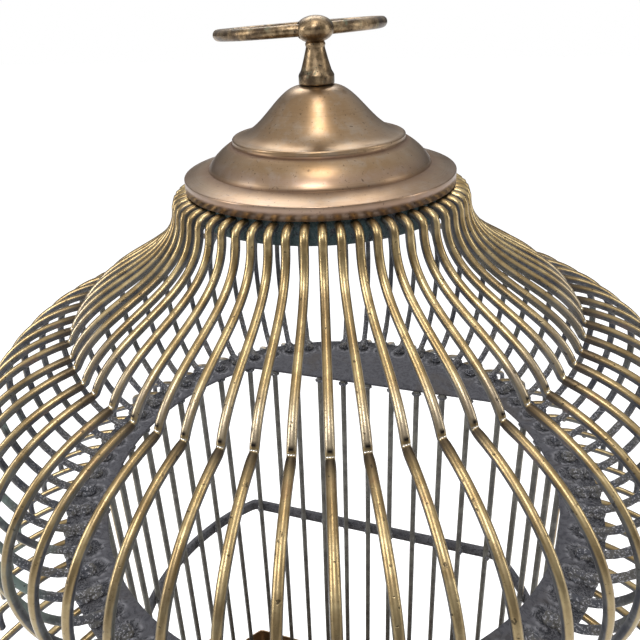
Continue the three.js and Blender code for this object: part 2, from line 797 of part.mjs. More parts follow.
for (const [hand, side] of [["left", -1], ["right", 1]]) {
  add(`feeder_cup_${hand}`, feederCup(side), china);
  add(`cup_holder_${hand}`, cupHolder(side), agedBrass);
}
add("seed_pan", seedPan(), spunBrass);
add("stand_frame", standFrame(), standBrass);
const [frontLeft, frontRight, backLeft, backRight] = legs();
for (const one of legs()) {
  add(`leg_${one[0]}`, leg(one), standBrass);
  add(`foot_${one[0]}`, foot(one), standBrass);
  add(`leg_screw_${one[0]}`, legScrew(one), agedBrass);
}
add("stretcher_front", stretcher(frontLeft, frontRight), standBrass);
add("stretcher_back", stretcher(backLeft, backRight), standBrass);
add("stretcher_left", stretcher(frontLeft, backLeft), standBrass);
add("stretcher_right", stretcher(frontRight, backRight), standBrass);

export default root;
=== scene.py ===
"""A bird cage on a stand: its round wires, spun and turned brass, solder, patina, wood and china."""

import bpy
import math
import numpy as np
from mathutils import Matrix, Vector


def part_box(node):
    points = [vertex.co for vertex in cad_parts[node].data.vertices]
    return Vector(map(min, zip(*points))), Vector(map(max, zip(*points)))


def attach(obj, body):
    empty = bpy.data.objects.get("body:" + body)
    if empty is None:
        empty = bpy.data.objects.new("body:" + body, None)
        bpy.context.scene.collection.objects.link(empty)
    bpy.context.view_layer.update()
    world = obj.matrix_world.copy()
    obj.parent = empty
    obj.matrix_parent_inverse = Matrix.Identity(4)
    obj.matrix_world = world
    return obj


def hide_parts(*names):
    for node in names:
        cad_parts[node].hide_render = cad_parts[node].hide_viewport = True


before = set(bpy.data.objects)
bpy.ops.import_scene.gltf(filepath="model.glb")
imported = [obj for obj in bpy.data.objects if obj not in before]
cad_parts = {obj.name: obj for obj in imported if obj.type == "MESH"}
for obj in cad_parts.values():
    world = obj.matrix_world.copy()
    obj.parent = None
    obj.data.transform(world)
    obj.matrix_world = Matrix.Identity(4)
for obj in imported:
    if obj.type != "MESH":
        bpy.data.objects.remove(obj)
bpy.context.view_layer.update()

MM = 0.001
FAR = -999.0  # the distance from a kink, on wires that have none
dice = np.random.default_rng(11)

# ---- sizes, in millimetres, as the solid parts have them -------------------
WIRES = 60
WIRES_PER_SECTION = 5
WIRE_D = 4.2
CAP_R = 70.0
CAP_T = 1.4
CAP_TOP_Z = 40.4
CAP_TOP_R = 9.0
CAP_STEP_R = 44.0
CAP_STEP_Z = 17.1
CAP_STEP_H = 2.7
CAP_BULGE_R = 57.0
CAP_BULGE_Z = 2.9
CAP_SKIRT_H = 6.3
CAP_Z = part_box("spun_cap")[0].z / MM + CAP_SKIRT_H
GAP = 0.3  # clearance between pieces that touch or are soldered
RUN_GAP = 0.35  # clearance round a turning piece
STEM_R = 3.0
BASE_R = 8.8
BASE_H = 4.4
NECK_R = 4.5
BALL_R = 9.3
BALL_HALF_H = 6.0
BALL_Z = CAP_Z + 65.0
RING_R = 43.8
RING_STOCK_R = 2.8
RING_TURN = math.radians(28.5)
RING_TILT = math.radians(-1)
RING_LEAN = math.radians(2)
COLLAR_R = 67.5
COLLAR_DEPTH = 18.4
WIRE_TOP_R = 76.0
WIRE_TOP_Z = 12.2
KINK_R = 139.1
KINK_Z = 75.2
LOBE_R = 199.5
LOBE_Z = 136.5
FOOT_R = 158.0
PLATE_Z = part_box("waist_plate")[1].z / MM
PLATE_T = 2.0
PLATE_R = 171.0
PLATE_HOLE_R = 146.0
BACK_Y = 104.0
DOME_H = CAP_Z - PLATE_Z
BODY_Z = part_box("door_frame")[0].z / MM
BODY_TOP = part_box("body_wires_back")[1].z / MM
BODY_H = BODY_TOP - BODY_Z
BODY_TOP_R = 149.5
BODY_BASE_R = 164.5
BODY_WIRE_D = 4.6
BODY_PITCH = 8.0
BACK_PITCH = 20.5
POST_X = 52.0
POST_R = 2.6
DOOR_SILL = 40.0
DOOR_H = 122.0
ROD_R = 1.8
DOOR_WIRE_D = 2.8
KNUCKLE_R = 4.6
RAIL_DROP = 168.0
RAIL_T = 4.5
HOOP_W = 8.0
EAVE_R = 214.0
EAVE_DROP = 20.0
EAVE_HOOK = 12.0
EAVE_WIRE_D = 4.0
EAVE_FOOT_R = 159.5
EAVE_WIRES_PER_SECTION = 10
PAN_R = 173.0
PAN_BACK = 112.0
PAN_H = 42.0
PAN_T = 1.5
CUP_X = 116.0
CUP_Y = -8.0
FRAME_W = 24.0
FRAME_T = 6.0
FRAME_CLEAR = 3.8
LEG_R = 6.25
FOOT_BALL_R = 11.0
STRETCH_Z = 170.0
TAILS = ("front_left", "front_right", "back_left", "back_right")


# ---- shader maths ------------------------------------------------------------
class Amount:
    """A shader value that ordinary arithmetic works on; each operation adds its Math node."""

    def __init__(self, finish, socket):
        self.finish, self.socket = finish, socket

    def _with(self, operation, a, b):
        node = self.finish.node("ShaderNodeMath", {"operation": operation}, {0: a, 1: b})
        return Amount(self.finish, node.outputs[0])

    def __add__(self, other):
        return self._with("ADD", self, other)

    __radd__ = __add__

    def __sub__(self, other):
        return self._with("SUBTRACT", self, other)

    def __rsub__(self, other):
        return self._with("SUBTRACT", other, self)

    def __mul__(self, other):
        return self._with("MULTIPLY", self, other)

    __rmul__ = __mul__

    def __pow__(self, other):
        return self._with("POWER", self, other)

    def clamped(self):
        """The value held between 0 and 1."""
        node = self.finish.node("ShaderNodeClamp", {}, {"Value": self})
        return Amount(self.finish, node.outputs[0])

    def step(self, low, high):
        """0 below low and 1 above high, eased between them."""
        node = self.finish.node(
            "ShaderNodeMapRange",
            {"interpolation_type": "SMOOTHSTEP"},
            {"Value": self, "From Min": low, "From Max": high},
        )
        return Amount(self.finish, node.outputs[0])

    def hump(self, centre, width):
        """1 where the value is centre, falling to 0 at width on each side."""
        gap = self._with("ABSOLUTE", self - centre, 0.0)
        return 1.0 - gap.step(0.0, width)


class Finish:
    """One procedural material, built up node by node."""

    def __init__(self, name, **shader):
        self.material = bpy.data.materials.new(name)
        self.material.use_nodes = True
        self.tree = self.material.node_tree
        self.shader = self.tree.nodes["Principled BSDF"]
        for key, value in shader.items():
            self.shader.inputs[key.replace("_", " ")].default_value = value
        self.place = self.node("ShaderNodeTexCoord", {}, {}).outputs["Object"]

    def node(self, kind, settings, inputs):
        """Adds a node: its settings first, then the values or links of its sockets."""
        node = self.tree.nodes.new(kind)
        for key, value in settings.items():
            setattr(node, key, value)
        for key, value in inputs.items():
            socket = node.inputs[key]
            if isinstance(value, Amount):
                value = value.socket
            if isinstance(value, bpy.types.NodeSocket):
                self.tree.links.new(value, socket)
            elif isinstance(value, tuple) and socket.type == "RGBA":
                socket.default_value = (*value, 1.0)
            else:
                socket.default_value = value
        return node

    def noise(self, scale, detail=3.0, rough=0.55, place=None, warp=0.0):
        """Cloudy noise from 0 to 1, about one feature in each 1/scale metres."""
        inputs = {"Vector": place or self.place, "Scale": scale, "Detail": detail}
        inputs |= {"Roughness": rough, "Distortion": warp}
        node = self.node("ShaderNodeTexNoise", {}, inputs)
        return Amount(self, node.outputs["Fac"])

    def cells(self, scale):
        """The distance to the nearest of many scattered points."""
        node = self.node("ShaderNodeTexVoronoi", {}, {"Vector": self.place, "Scale": scale})
        return Amount(self, node.outputs["Distance"])

    def own(self, name):
        """A value stored on the piece's own points."""
        node = self.node("ShaderNodeAttribute", {"attribute_name": name}, {})
        return Amount(self, node.outputs["Fac"])

    def axes(self):
        """The place on the piece as its x, y and z, in metres."""
        node = self.node("ShaderNodeSeparateXYZ", {}, {0: self.place})
        return [Amount(self, o) for o in node.outputs]

    def point(self, x, y, z):
        """Three values joined into one place."""
        return self.node("ShaderNodeCombineXYZ", {}, {0: x, 1: y, 2: z}).outputs[0]

    def blend(self, share, a, b):
        """Colour a where share is 0 and colour b where it is 1."""
        return self.node("ShaderNodeMix", {"data_type": "RGBA"}, {0: share, 6: a, 7: b}).outputs[2]

    def bump(self, height, distance, strength=1.0):
        """A normal that follows the slope of height, distance metres deep."""
        inputs = {"Height": height, "Distance": distance, "Strength": strength}
        return self.node("ShaderNodeBump", {}, inputs).outputs[0]

    def done(self, colour, rough=None, metal=None, normal=None):
        """Links what varies to the shader and hands back the material."""
        given = {"Base Color": colour, "Roughness": rough, "Metallic": metal, "Normal": normal}
        for key, value in given.items():
            if isinstance(value, Amount):
                value = value.socket
            if value is not None:
                self.tree.links.new(value, self.shader.inputs[key])
        return self.material


# ---- finishes ------------------------------------------------------------------
GOLD = (0.29, 0.205, 0.095)
PALE_GOLD = (0.47, 0.365, 0.19)
BRONZE = (0.13, 0.085, 0.042)
STAIN = (0.15, 0.060, 0.025)
UMBER = (0.050, 0.037, 0.026)
PEWTER = (0.36, 0.315, 0.25)
GLINT_WHITE = (0.86, 0.83, 0.76)
SLATE = (0.045, 0.048, 0.060)
PALE_SLATE = (0.12, 0.122, 0.125)
OLIVE = (0.105, 0.095, 0.062)
DUN = (0.25, 0.215, 0.145)
SOLDER = (0.060, 0.063, 0.075)
SPECK = (0.34, 0.34, 0.36)
VERDIGRIS = (0.20, 0.30, 0.27)
SOOT = (0.014, 0.012, 0.012)
DRAB = (0.105, 0.100, 0.085)
PALE_DRAB = (0.185, 0.180, 0.155)
BROWN_SOLDER = (0.10, 0.095, 0.085)


def old_wire(name, tarnish_and_shade_shift, faded):
    """Drawn brass wire: gold on its outward faces and slate on its inward faces, partly oxide and partly
    painted shade; a painted sheen, glint and shadow at the kink, dark below the kink, solder at its joints.
    """
    f = Finish(name)
    x, y, _ = f.axes()
    inside, run, low, solder = f.own("inside"), f.own("run"), f.own("low"), f.own("solder")
    broad = f.noise(22.0, 4.0, 0.6)
    patch = f.noise(75.0, 5.0, 0.65, warp=0.6)
    grain = f.noise(900.0, 3.0, 0.6)
    pits = f.noise(420.0, 2.0, 0.5)
    gold = f.blend(patch.step(0.35, 0.68), GOLD, PALE_GOLD)
    gold = f.blend(broad.step(0.48, 0.70) * 0.6, gold, BRONZE)
    gold = f.blend(low.step(0.15, 0.60) * (0.35 + patch * 0.6), gold, DUN)
    gold = f.blend(grain.step(0.56, 0.75) * 0.5, gold, BRONZE)
    slate = f.blend(patch.step(0.38, 0.66), SLATE, PALE_SLATE)
    slate = f.blend(broad.step(0.45, 0.62) * 0.5, slate, OLIVE)
    slate = f.blend(faded, slate, f.blend(patch.step(0.35, 0.65), DRAB, PALE_DRAB))
    uneven = (broad - 0.5) * 0.35 + (patch - 0.5) * 0.25
    # The slate mask: oxide and painted shade on the inward faces, in uneven patches and more on the lower
    # dome.
    tarnish_and_shade = (inside + uneven + low * low * 0.22 + tarnish_and_shade_shift).step(0.17, 0.36)
    colour = f.blend(tarnish_and_shade, gold, slate)
    # Painted sheen: a pale pewter band on the outward faces just above the kink.
    above = run.step(-30.0, -8.0) * (1.0 - run.step(-3.5, -2.0)) * (1.0 - tarnish_and_shade * 0.7)
    colour = f.blend(above * 0.55, colour, PEWTER)
    below = run.step(0.2, 0.9) * (1.0 - run.step(2.0, 17.0))
    colour = f.blend((below * (0.7 + patch * 0.4)).clamped(), colour, UMBER)
    rust = run.step(6.0, 14.0) * (1.0 - run.step(20.0, 34.0)) * patch.step(0.50, 0.66)
    colour = f.blend(rust * 0.5, colour, STAIN)
    corner = (0.0 - x).step(0.06, 0.13) * (0.0 - y).step(0.03, 0.10)
    damp = (broad * 0.8 + patch * 0.3 + low * 0.12).step(0.60, 0.74)
    damp = damp * (0.12 + corner * 0.88) * low.step(0.15, 0.45)
    colour = f.blend(damp * 0.65, colour, VERDIGRIS)
    face = 1.0 - inside.step(0.02, 0.14)
    # Painted shadow: a near-black mark in a small dent just above the kink, on the outward face.
    dent_shade = run.hump(-3.0, 1.6) * face
    # Painted glint: near-white at the kink, kept off the inward faces, with lower roughness.
    painted_glint = run.hump(-0.7, 1.0) * (1.0 - inside.step(0.10, 0.30))
    colour = f.blend(dent_shade, colour, SOOT)
    colour = f.blend(painted_glint, colour, GLINT_WHITE)
    pitted = pits.step(0.66, 0.72) * 0.7
    colour = f.blend(pitted, colour, SOOT)
    crust = f.blend(patch.step(0.4, 0.6), SOLDER, BROWN_SOLDER)
    crust = f.blend(grain.step(0.54, 0.62), crust, SPECK)
    colour = f.blend(solder, colour, crust)
    rough = 0.33 + tarnish_and_shade * 0.22 + damp * 0.2 + solder * 0.2 + (grain - 0.5) * 0.2
    rough = (rough + below * 0.1 - painted_glint * 0.16).clamped()
    metal = (1.0 - tarnish_and_shade * 0.45 - damp * 0.6 - solder * 0.3).clamped()
    height = patch * 0.35 + grain * (0.25 + solder * 1.5) - pitted * 0.6 - dent_shade * 0.8
    return f.done(colour, rough, metal, f.bump(height, 0.00016, 0.8))


def spun_brass(name, mottle):
    """Spun coppery sheet: fine turning lines, painted lavender reflections on the skirt and the bulge, dark
    brown in the creases that is partly grime and partly painted shade, lighter where it is handled.
    """
    f = Finish(name)
    x, y, z = f.axes()
    radius = (x * x + y * y) ** 0.5
    lines = f.noise(1.0, 3.0, 0.7, f.point(radius * 2600.0, z * 2600.0, 0.0))
    broad = f.noise(26.0, 4.0, 0.6, warp=0.4)
    patch = f.noise(110.0, 5.0, 0.7)
    speck = f.noise(700.0, 2.0, 0.6)
    top = CAP_Z * MM
    copper = f.blend(broad.step(0.35, 0.66), (0.255, 0.165, 0.088), (0.325, 0.235, 0.150))
    copper = f.blend(patch.step(0.46, 0.70) * mottle, copper, (0.31, 0.26, 0.205))
    # Painted reflection: lavender bands across the skirt and the bulge.
    painted_lilac_reflection = z.hump(top - 0.003, 0.0055) + z.hump(top + 0.0065, 0.004) * 0.5
    copper = f.blend(painted_lilac_reflection.clamped() * (0.2 + patch * 0.5), copper, (0.33, 0.235, 0.215))
    copper = f.blend(lines.step(0.52, 0.72) * 0.35, copper, (0.15, 0.095, 0.055))
    foot = top + (CAP_STEP_Z - CAP_STEP_H) * MM
    # Dark brown at the step's foot, where the bulge meets the flange and along the skirt's lower edge: partly
    # grime, partly painted shade.
    crease_grime_and_shade = z.hump(foot, 0.0016) * 0.8 + z.hump(top + CAP_BULGE_Z * MM, 0.0022) * 0.7
    crease_grime_and_shade = crease_grime_and_shade + z.hump(top - CAP_SKIRT_H * MM, 0.0016) * 0.6
    crease_grime_and_shade = (crease_grime_and_shade * (0.6 + patch * 0.8)).clamped()
    colour = f.blend(crease_grime_and_shade, copper, (0.075, 0.034, 0.018))
    dots = speck.step(0.64, 0.72) * 0.6
    colour = f.blend(dots, colour, (0.05, 0.03, 0.02))
    rough = (0.20 + lines * 0.12 + patch * 0.10 + crease_grime_and_shade * 0.25).clamped()
    height = lines * 0.5 + patch * 0.3 - dots * 0.5
    return f.done(colour, rough, (1.0 - crease_grime_and_shade * 0.3).clamped(), f.bump(height, 0.00006, 0.7))


def turned_brass():
    """The finial and ring: mottled cast brass with black pits and patches of green."""
    f = Finish("turned_brass_mottled")
    broad = f.noise(60.0, 4.0, 0.65, warp=0.8)
    patch = f.noise(230.0, 5.0, 0.7)
    pits = f.noise(800.0, 3.0, 0.6)
    colour = f.blend(patch.step(0.38, 0.62), (0.125, 0.085, 0.045), (0.30, 0.215, 0.125))
    colour = f.blend(broad.step(0.44, 0.60) * 0.8, colour, (0.055, 0.038, 0.026))
    green = (broad * 0.4 + patch * 0.7).step(0.60, 0.68)
    colour = f.blend(green * 0.5, colour, (0.09, 0.13, 0.075))
    holes = pits.step(0.62, 0.68)
    colour = f.blend(holes * 0.85, colour, SOOT)
    rough = (0.26 + patch * 0.18 + green * 0.2 + holes * 0.3).clamped()
    height = patch * 0.4 - holes
    return f.done(colour, rough, (1.0 - green * 0.5 - holes * 0.4).clamped(), f.bump(height, 0.00018))


def dull_solder(name, green):
    """Greyed brass sheet under runs of solder: pale loops, a little green, and near-black with pale specks
    where a piece's dark share is high, which is partly dark tone and partly painted shade.
    """
    f = Finish(name)
    broad = f.noise(28.0, 4.0, 0.6, warp=0.8)
    swirl = f.noise(150.0, 5.0, 0.65, warp=2.6)
    grain = f.noise(1100.0, 3.0, 0.65)
    cells = f.cells(240.0)
    raised, dark = f.own("solder"), f.own("dark")
    colour = f.blend(swirl.step(0.36, 0.64), (0.070, 0.070, 0.080), (0.125, 0.125, 0.140))
    colour = f.blend(broad.step(0.50, 0.68) * 0.5, colour, (0.095, 0.080, 0.066))
    # Near-black by the piece's dark share: painted shade on the collar under the cap and under and round the
    # waist plate's feet, dark tone on the rail and hoop.
    murk = (dark * (0.65 + swirl * 0.7)).clamped()
    colour = f.blend(murk, colour, (0.022, 0.023, 0.028))
    veins = 1.0 - ((swirl - 0.5) * (swirl - 0.5)).step(0.0, 0.0022)
    colour = f.blend((veins * dark * 0.65).clamped(), colour, (0.16, 0.16, 0.175))
    colour = f.blend(murk * grain.step(0.53, 0.62) * 0.7, colour, (0.20, 0.20, 0.21))
    colour = f.blend((raised * swirl.step(0.36, 0.58)).clamped() * 0.9, colour, (0.27, 0.27, 0.29))
    damp = (broad * 0.5 + swirl * 0.5 + dark * 0.06 + green).step(0.60, 0.70)
    colour = f.blend(damp * 0.7, colour, (0.022, 0.062, 0.060))
    colour = f.blend(grain.step(0.60, 0.72) * 0.5, colour, SOOT)
    rough = (0.50 + grain * 0.3 - raised * 0.15 + dark * 0.1).clamped()
    metal = (0.7 - damp * 0.4 - dark * 0.2 + raised * 0.1).clamped()
    height = swirl * (0.25 + dark * 0.9) + cells * 0.3 + grain * 0.35
    return f.done(colour, rough, metal, f.bump(height, 0.0005, 0.9))


def stand_bronze():
    """Dark bronzed tube, rubbed through to brass on its high spots."""
    f = Finish("stand_bronze")
    broad = f.noise(14.0, 4.0, 0.6)
    patch = f.noise(90.0, 5.0, 0.7, warp=0.5)
    grain = f.noise(900.0, 3.0, 0.6)
    colour = f.blend(patch.step(0.35, 0.7), (0.060, 0.040, 0.022), (0.14, 0.092, 0.042))
    rubbed = (broad * 0.6 + patch * 0.6).step(0.62, 0.76)
    colour = f.blend(rubbed * 0.75, colour, (0.40, 0.28, 0.12))
    green = (patch * 0.8 + grain * 0.3).step(0.70, 0.78)
    colour = f.blend(green * 0.35, colour, VERDIGRIS)
    rough = (0.46 - rubbed * 0.14 + grain * 0.2 + green * 0.2).clamped()
    height = patch * 0.4 + grain * 0.3
    return f.done(colour, rough, (0.95 - green * 0.4).clamped(), f.bump(height, 0.0002))


def perch_wood():
    """Turned hardwood: long grain along the perch, scratched by claws."""
    f = Finish("perch_wood")
    x, y, z = f.axes()
    along = f.point(x * 6.0, y * 240.0, z * 240.0)
    grain = f.noise(1.0, 5.0, 0.65, along, 0.8)
    fine = f.noise(4.0, 3.0, 0.6, along)
    scratch = f.noise(1.0, 2.0, 0.5, f.point(x * 900.0, y * 60.0, z * 60.0))
    colour = f.blend(grain.step(0.32, 0.68), (0.21, 0.105, 0.045), (0.46, 0.28, 0.14))
    colour = f.blend(fine.step(0.55, 0.75) * 0.6, colour, (0.12, 0.055, 0.024))
    worn = scratch.step(0.62, 0.70)
    colour = f.blend(worn * 0.5, colour, (0.56, 0.42, 0.27))
    height = grain * 0.4 + fine * 0.3 - worn * 0.7
    return f.done(colour, (0.48 + fine * 0.2 + worn * 0.15).clamped(), None, f.bump(height, 0.00025))


def cream_china():
    """Cream glaze with a fine crackle, grey where seed dust has settled."""
    f = Finish("cream_china", Coat_Weight=0.6, Coat_Roughness=0.08)
    broad = f.noise(30.0, 4.0, 0.6)
    node = f.node(
        "ShaderNodeTexVoronoi", {"feature": "DISTANCE_TO_EDGE"}, {"Vector": f.place, "Scale": 190.0}
    )
    crack = 1.0 - Amount(f, node.outputs["Distance"]).step(0.0, 0.035)
    dust = f.noise(260.0, 4.0, 0.7)
    colour = f.blend(broad.step(0.35, 0.7), (0.74, 0.68, 0.55), (0.84, 0.80, 0.70))
    colour = f.blend(crack * 0.45, colour, (0.30, 0.22, 0.14))
    colour = f.blend(dust.step(0.58, 0.75) * 0.25, colour, (0.45, 0.38, 0.28))
    rough = (0.22 + dust * 0.15 + crack * 0.2).clamped()
    return f.done(colour, rough, None, f.bump(broad * 0.3 - crack * 0.6, 0.00008))


# ---- surfaces ------------------------------------------------------------------
def grid(points, joined_rows=False, poles=False, values=None):
    """A sheet of quads over points [row, column], each row a closed loop.

    The last row joins the first where asked, or poles close both rows to their middles.
    """
    rows, columns = points.shape[:2]
    index = np.arange(rows * columns).reshape(rows, columns)
    r = np.arange(rows if joined_rows else rows - 1)
    r, c = np.meshgrid(r, np.arange(columns), indexing="ij")
    r2, c2 = (r + 1) % rows, (c + 1) % columns
    quads = np.stack([index[r, c], index[r, c2], index[r2, c2], index[r2, c]], -1).reshape(-1, 4)
    verts = points.reshape(-1, 3)
    values = {k: np.broadcast_to(v, (rows, columns)).reshape(-1) for k, v in (values or {}).items()}
    tris = np.zeros((0, 3), int)
    if poles:
        first, last = points[0].mean(0), points[-1].mean(0)
        n = len(verts)
        verts = np.vstack([verts, first, last])
        near = np.arange(columns)
        nxt = (near + 1) % columns
        tris = np.vstack(
            [
                np.stack([np.full(columns, n), index[0, nxt], index[0, near]], -1),
                np.stack([np.full(columns, n + 1), index[-1, near], index[-1, nxt]], -1),
            ]
        )
        values = {k: np.r_[v, v[0], v[-1]] for k, v in values.items()}
    return outward(verts, quads, tris, values)


def outward(verts, quads, tris, values):
    """The same closed surface with its faces turned out: the volume inside them is made positive."""
    fans = np.vstack([quads[:, [0, 1, 2]], quads[:, [0, 2, 3]], tris])
    a, b, c = (verts[fans[:, i]] for i in range(3))
    if np.einsum("ij,ij->", a, np.cross(b, c)) < 0:
        quads, tris = quads[:, ::-1], tris[:, ::-1]
    return verts, quads, tris, values


def piece(name, surfaces, finish, body, stands_for):
    """One object made of closed surfaces, in millimetres, riding on a body."""
    verts, loops, sizes, start = [], [], [], 0
    names = sorted({k for s in surfaces for k in s[3]})
    values = {k: [] for k in names}
    for v, quads, tris, own in surfaces:
        verts.append(v)
        loops += [(quads + start).ravel(), (tris + start).ravel()]
        sizes += [np.full(len(quads), 4), np.full(len(tris), 3)]
        for k in names:
            values[k].append(own.get(k, np.zeros(len(v))))
        start += len(v)
    verts = np.vstack(verts) * MM
    loops = np.concatenate(loops).astype(np.int32)
    sizes = np.concatenate(sizes).astype(np.int32)
    mesh = bpy.data.meshes.new(name)
    mesh.vertices.add(len(verts))
    mesh.vertices.foreach_set("co", verts.ravel())
    mesh.loops.add(len(loops))
    mesh.loops.foreach_set("vertex_index", loops)
    mesh.polygons.add(len(sizes))
    mesh.polygons.foreach_set("loop_start", np.r_[0, np.cumsum(sizes)[:-1]].astype(np.int32))
    mesh.polygons.foreach_set("use_smooth", np.full(len(sizes), True))
    mesh.update(calc_edges=True)
    for k in names:
        layer = mesh.attributes.new(k, "FLOAT", "POINT")
        layer.data.foreach_set("value", np.concatenate(values[k]).astype(np.float32))
    mesh.validate()
    mesh.materials.append(finish)
    thing = bpy.data.objects.new(name, mesh)
    bpy.context.scene.collection.objects.link(thing)
    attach(thing, body)
    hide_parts(*stands_for)


def bezier(points, count):
    """Points along a Bezier curve: the sum of its corners by their Bernstein shares."""
    p = np.array(points, float)
    n = len(p) - 1
    t = np.linspace(0, 1, count)[:, None]
    share = [math.comb(n, i) * t**i * (1 - t) ** (n - i) for i in range(n + 1)]
    return sum(s * q for s, q in zip(share, p))


def evenly(points, gap):
    """The same path resampled at equal steps of arc length."""
    d = np.r_[0, np.cumsum(np.linalg.norm(np.diff(points, axis=0), axis=1))]
    at = np.linspace(0, d[-1], max(int(d[-1] / gap), 2) + 1)
    return np.stack([np.interp(at, d, points[:, i]) for i in range(points.shape[1])], 1), at


def softened(points, passes):
    """The path with its corners rounded: each inner point moves to the mean of itself and its neighbours."""
    for _ in range(passes):
        points = np.vstack([points[:1], (points[:-2] + 2 * points[1:-1] + points[2:]) / 4, points[-1:]])
    return points


def tube(path, radius, side, sides=12, values=None, dome=True, outward=None):
    """A round section carried along a path: centre + radius (cos a side + sin a (tangent x side)).

    Its ends are domed by rings that shrink to a pole.
    """
    tangent = np.gradient(path, axis=0)
    tangent /= np.linalg.norm(tangent, axis=1)[:, None]
    side = np.broadcast_to(np.asarray(side, float), path.shape)
    side = side - (side * tangent).sum(1)[:, None] * tangent
    side = side / np.linalg.norm(side, axis=1)[:, None]
    up = np.cross(tangent, side)
    radius = np.broadcast_to(radius, len(path)).astype(float)
    if dome:
        r0, r1 = radius[0], radius[-1]
        path = np.vstack([path[0] - tangent[0] * 0.35 * r0, path, path[-1] + tangent[-1] * 0.35 * r1])
        radius = np.r_[r0 * 0.75, radius, r1 * 0.75]
        side, up = (np.vstack([q[:1], q, q[-1:]]) for q in (side, up))
        values = {k: np.r_[v[0], v, v[-1]] for k, v in (values or {}).items()}
    a = np.linspace(0, 2 * math.pi, sides, endpoint=False)
    out = np.cos(a)[None, :, None] * side[:, None] + np.sin(a)[None, :, None] * up[:, None]
    points = path[:, None] + radius[:, None, None] * out
    own = {k: v[:, None] * np.ones(sides) for k, v in (values or {}).items()}
    facing = up if outward is None else np.broadcast_to(outward, up.shape)
    # inside is 1 on the side that faces into the cage and 0 on the side that faces out; the wires' slate
    # oxide and painted shade follow it.
    own["inside"] = 0.5 - 0.5 * (out * facing[:, None]).sum(-1)
    return grid(points, poles=True, values=own)


def rod(a, b, radius, sides=12, steps=8, sway=0.0):
    """A straight round bar from a to b that bows by up to sway across its length."""
    a, b = np.array(a, float), np.array(b, float)
    t = np.linspace(0, 1, steps + 1)[:, None]
    path = a + (b - a) * t
    bow = dice.normal(0, 1, 3) * sway
    path = path + np.sin(math.pi * t) * bow + np.sin(2 * math.pi * t) * dice.normal(0, 1, 3) * sway * 0.4
    line = (b - a) / np.linalg.norm(b - a)
    side = np.cross(line, (0, 0, 1)) if abs(line[2]) < 0.9 else np.cross(line, (0, 1, 0))
    out = away(path.mean(0))
    own = {"low": 0.6 - 0.6 * t[:, 0], "run": FAR + 0 * t[:, 0]}
    return tube(path, radius, side, sides, own, outward=out)


def away(point):
    """The level direction from the cage's axis to a point."""
    return np.array([point[0], point[1], 0.0]) / max(np.hypot(point[0], point[1]), 1e-6)


def turned(profile, columns, centre=(0, 0, 0), closed=False):
    """A profile of (radius, height) turned about the upright axis: (r cos a, r sin a, z)."""
    profile = np.array(profile, float)
    a = np.linspace(0, 2 * math.pi, columns, endpoint=False)
    r, z = profile[:, 0][:, None], profile[:, 1][:, None]
    points = np.stack([r * np.cos(a), r * np.sin(a), z + 0 * a], -1) + np.array(centre)
    return grid(points, joined_rows=closed, poles=not closed)


def eased(corners, radius, count=4):
    """A polyline with each inner corner replaced by a small curve that starts radius away from it."""
    p = np.array(corners, float)
    out = [p[:1]]
    for a, b, c in zip(p[:-2], p[1:-1], p[2:]):
        u, v = a - b, c - b
        lu, lv = np.linalg.norm(u), np.linalg.norm(v)
        r = min(radius, 0.45 * lu, 0.45 * lv)
        out.append(bezier([b + u / lu * r, b, b + v / lv * r], count))
    out.append(p[-1:])
    return np.vstack(out)


def d_reach(angle, radius, back, sharp=1.0):
    """How far the D-shaped plan reaches at an angle from +X.

    It is the soft minimum of the round front's radius and the distance to the straight back.
    """
    s = np.sin(angle)
    straight = np.where(s > 0.05, back / np.maximum(s, 0.05), 1e4)
    low = np.minimum(radius, straight)
    to_back = np.minimum(straight - low, 60)
    return low - np.log(np.exp(-sharp * (radius - low)) + np.exp(-sharp * to_back)) / sharp


def d_turned(profile, radius, back, closed=True, values=None):
    """A profile of (inset, height) carried round the D-shaped plan, each point inset from the outline."""
    profile = np.array(profile, float)
    a = np.linspace(0, 2 * math.pi, 360, endpoint=False)
    r = np.array([d_reach(a, radius - inset, back - inset) for inset, _ in profile])
    z = profile[:, 1][:, None] + 0 * r
    points = np.stack([r * np.cos(a), r * np.sin(a), z], -1)
    return grid(points, joined_rows=closed, poles=not closed, values=values)


def lump(centre, size, columns=8, rows=5):
    """A small blob of solder: a squashed sphere."""
    t = np.linspace(0.12, math.pi - 0.12, rows)[:, None]
    a = np.linspace(0, 2 * math.pi, columns, endpoint=False)[None]
    shape = np.stack([np.sin(t) * np.cos(a), np.sin(t) * np.sin(a), np.cos(t) + 0 * a], -1)
    points = np.array(centre) + shape * np.array(size)
    own = {"solder": np.ones((1, 1)), "inside": np.full((1, 1), 0.5), "run": np.full((1, 1), FAR)}
    return grid(points, poles=True, values=own)


def around(radius, azimuth, z):
    """A point at an azimuth in degrees, from the front round towards the right."""
    a = math.radians(azimuth)
    return np.array([radius * math.sin(a), -radius * math.cos(a), z])


def extent(node):
    """The low and high corners of a solid part, in millimetres."""
    return [np.array(corner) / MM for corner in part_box(node)]


def middle(node):
    """The centre of a solid part in plan."""
    low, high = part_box(node)
    return (low.x + high.x) / 2 / MM, (low.y + high.y) / 2 / MM


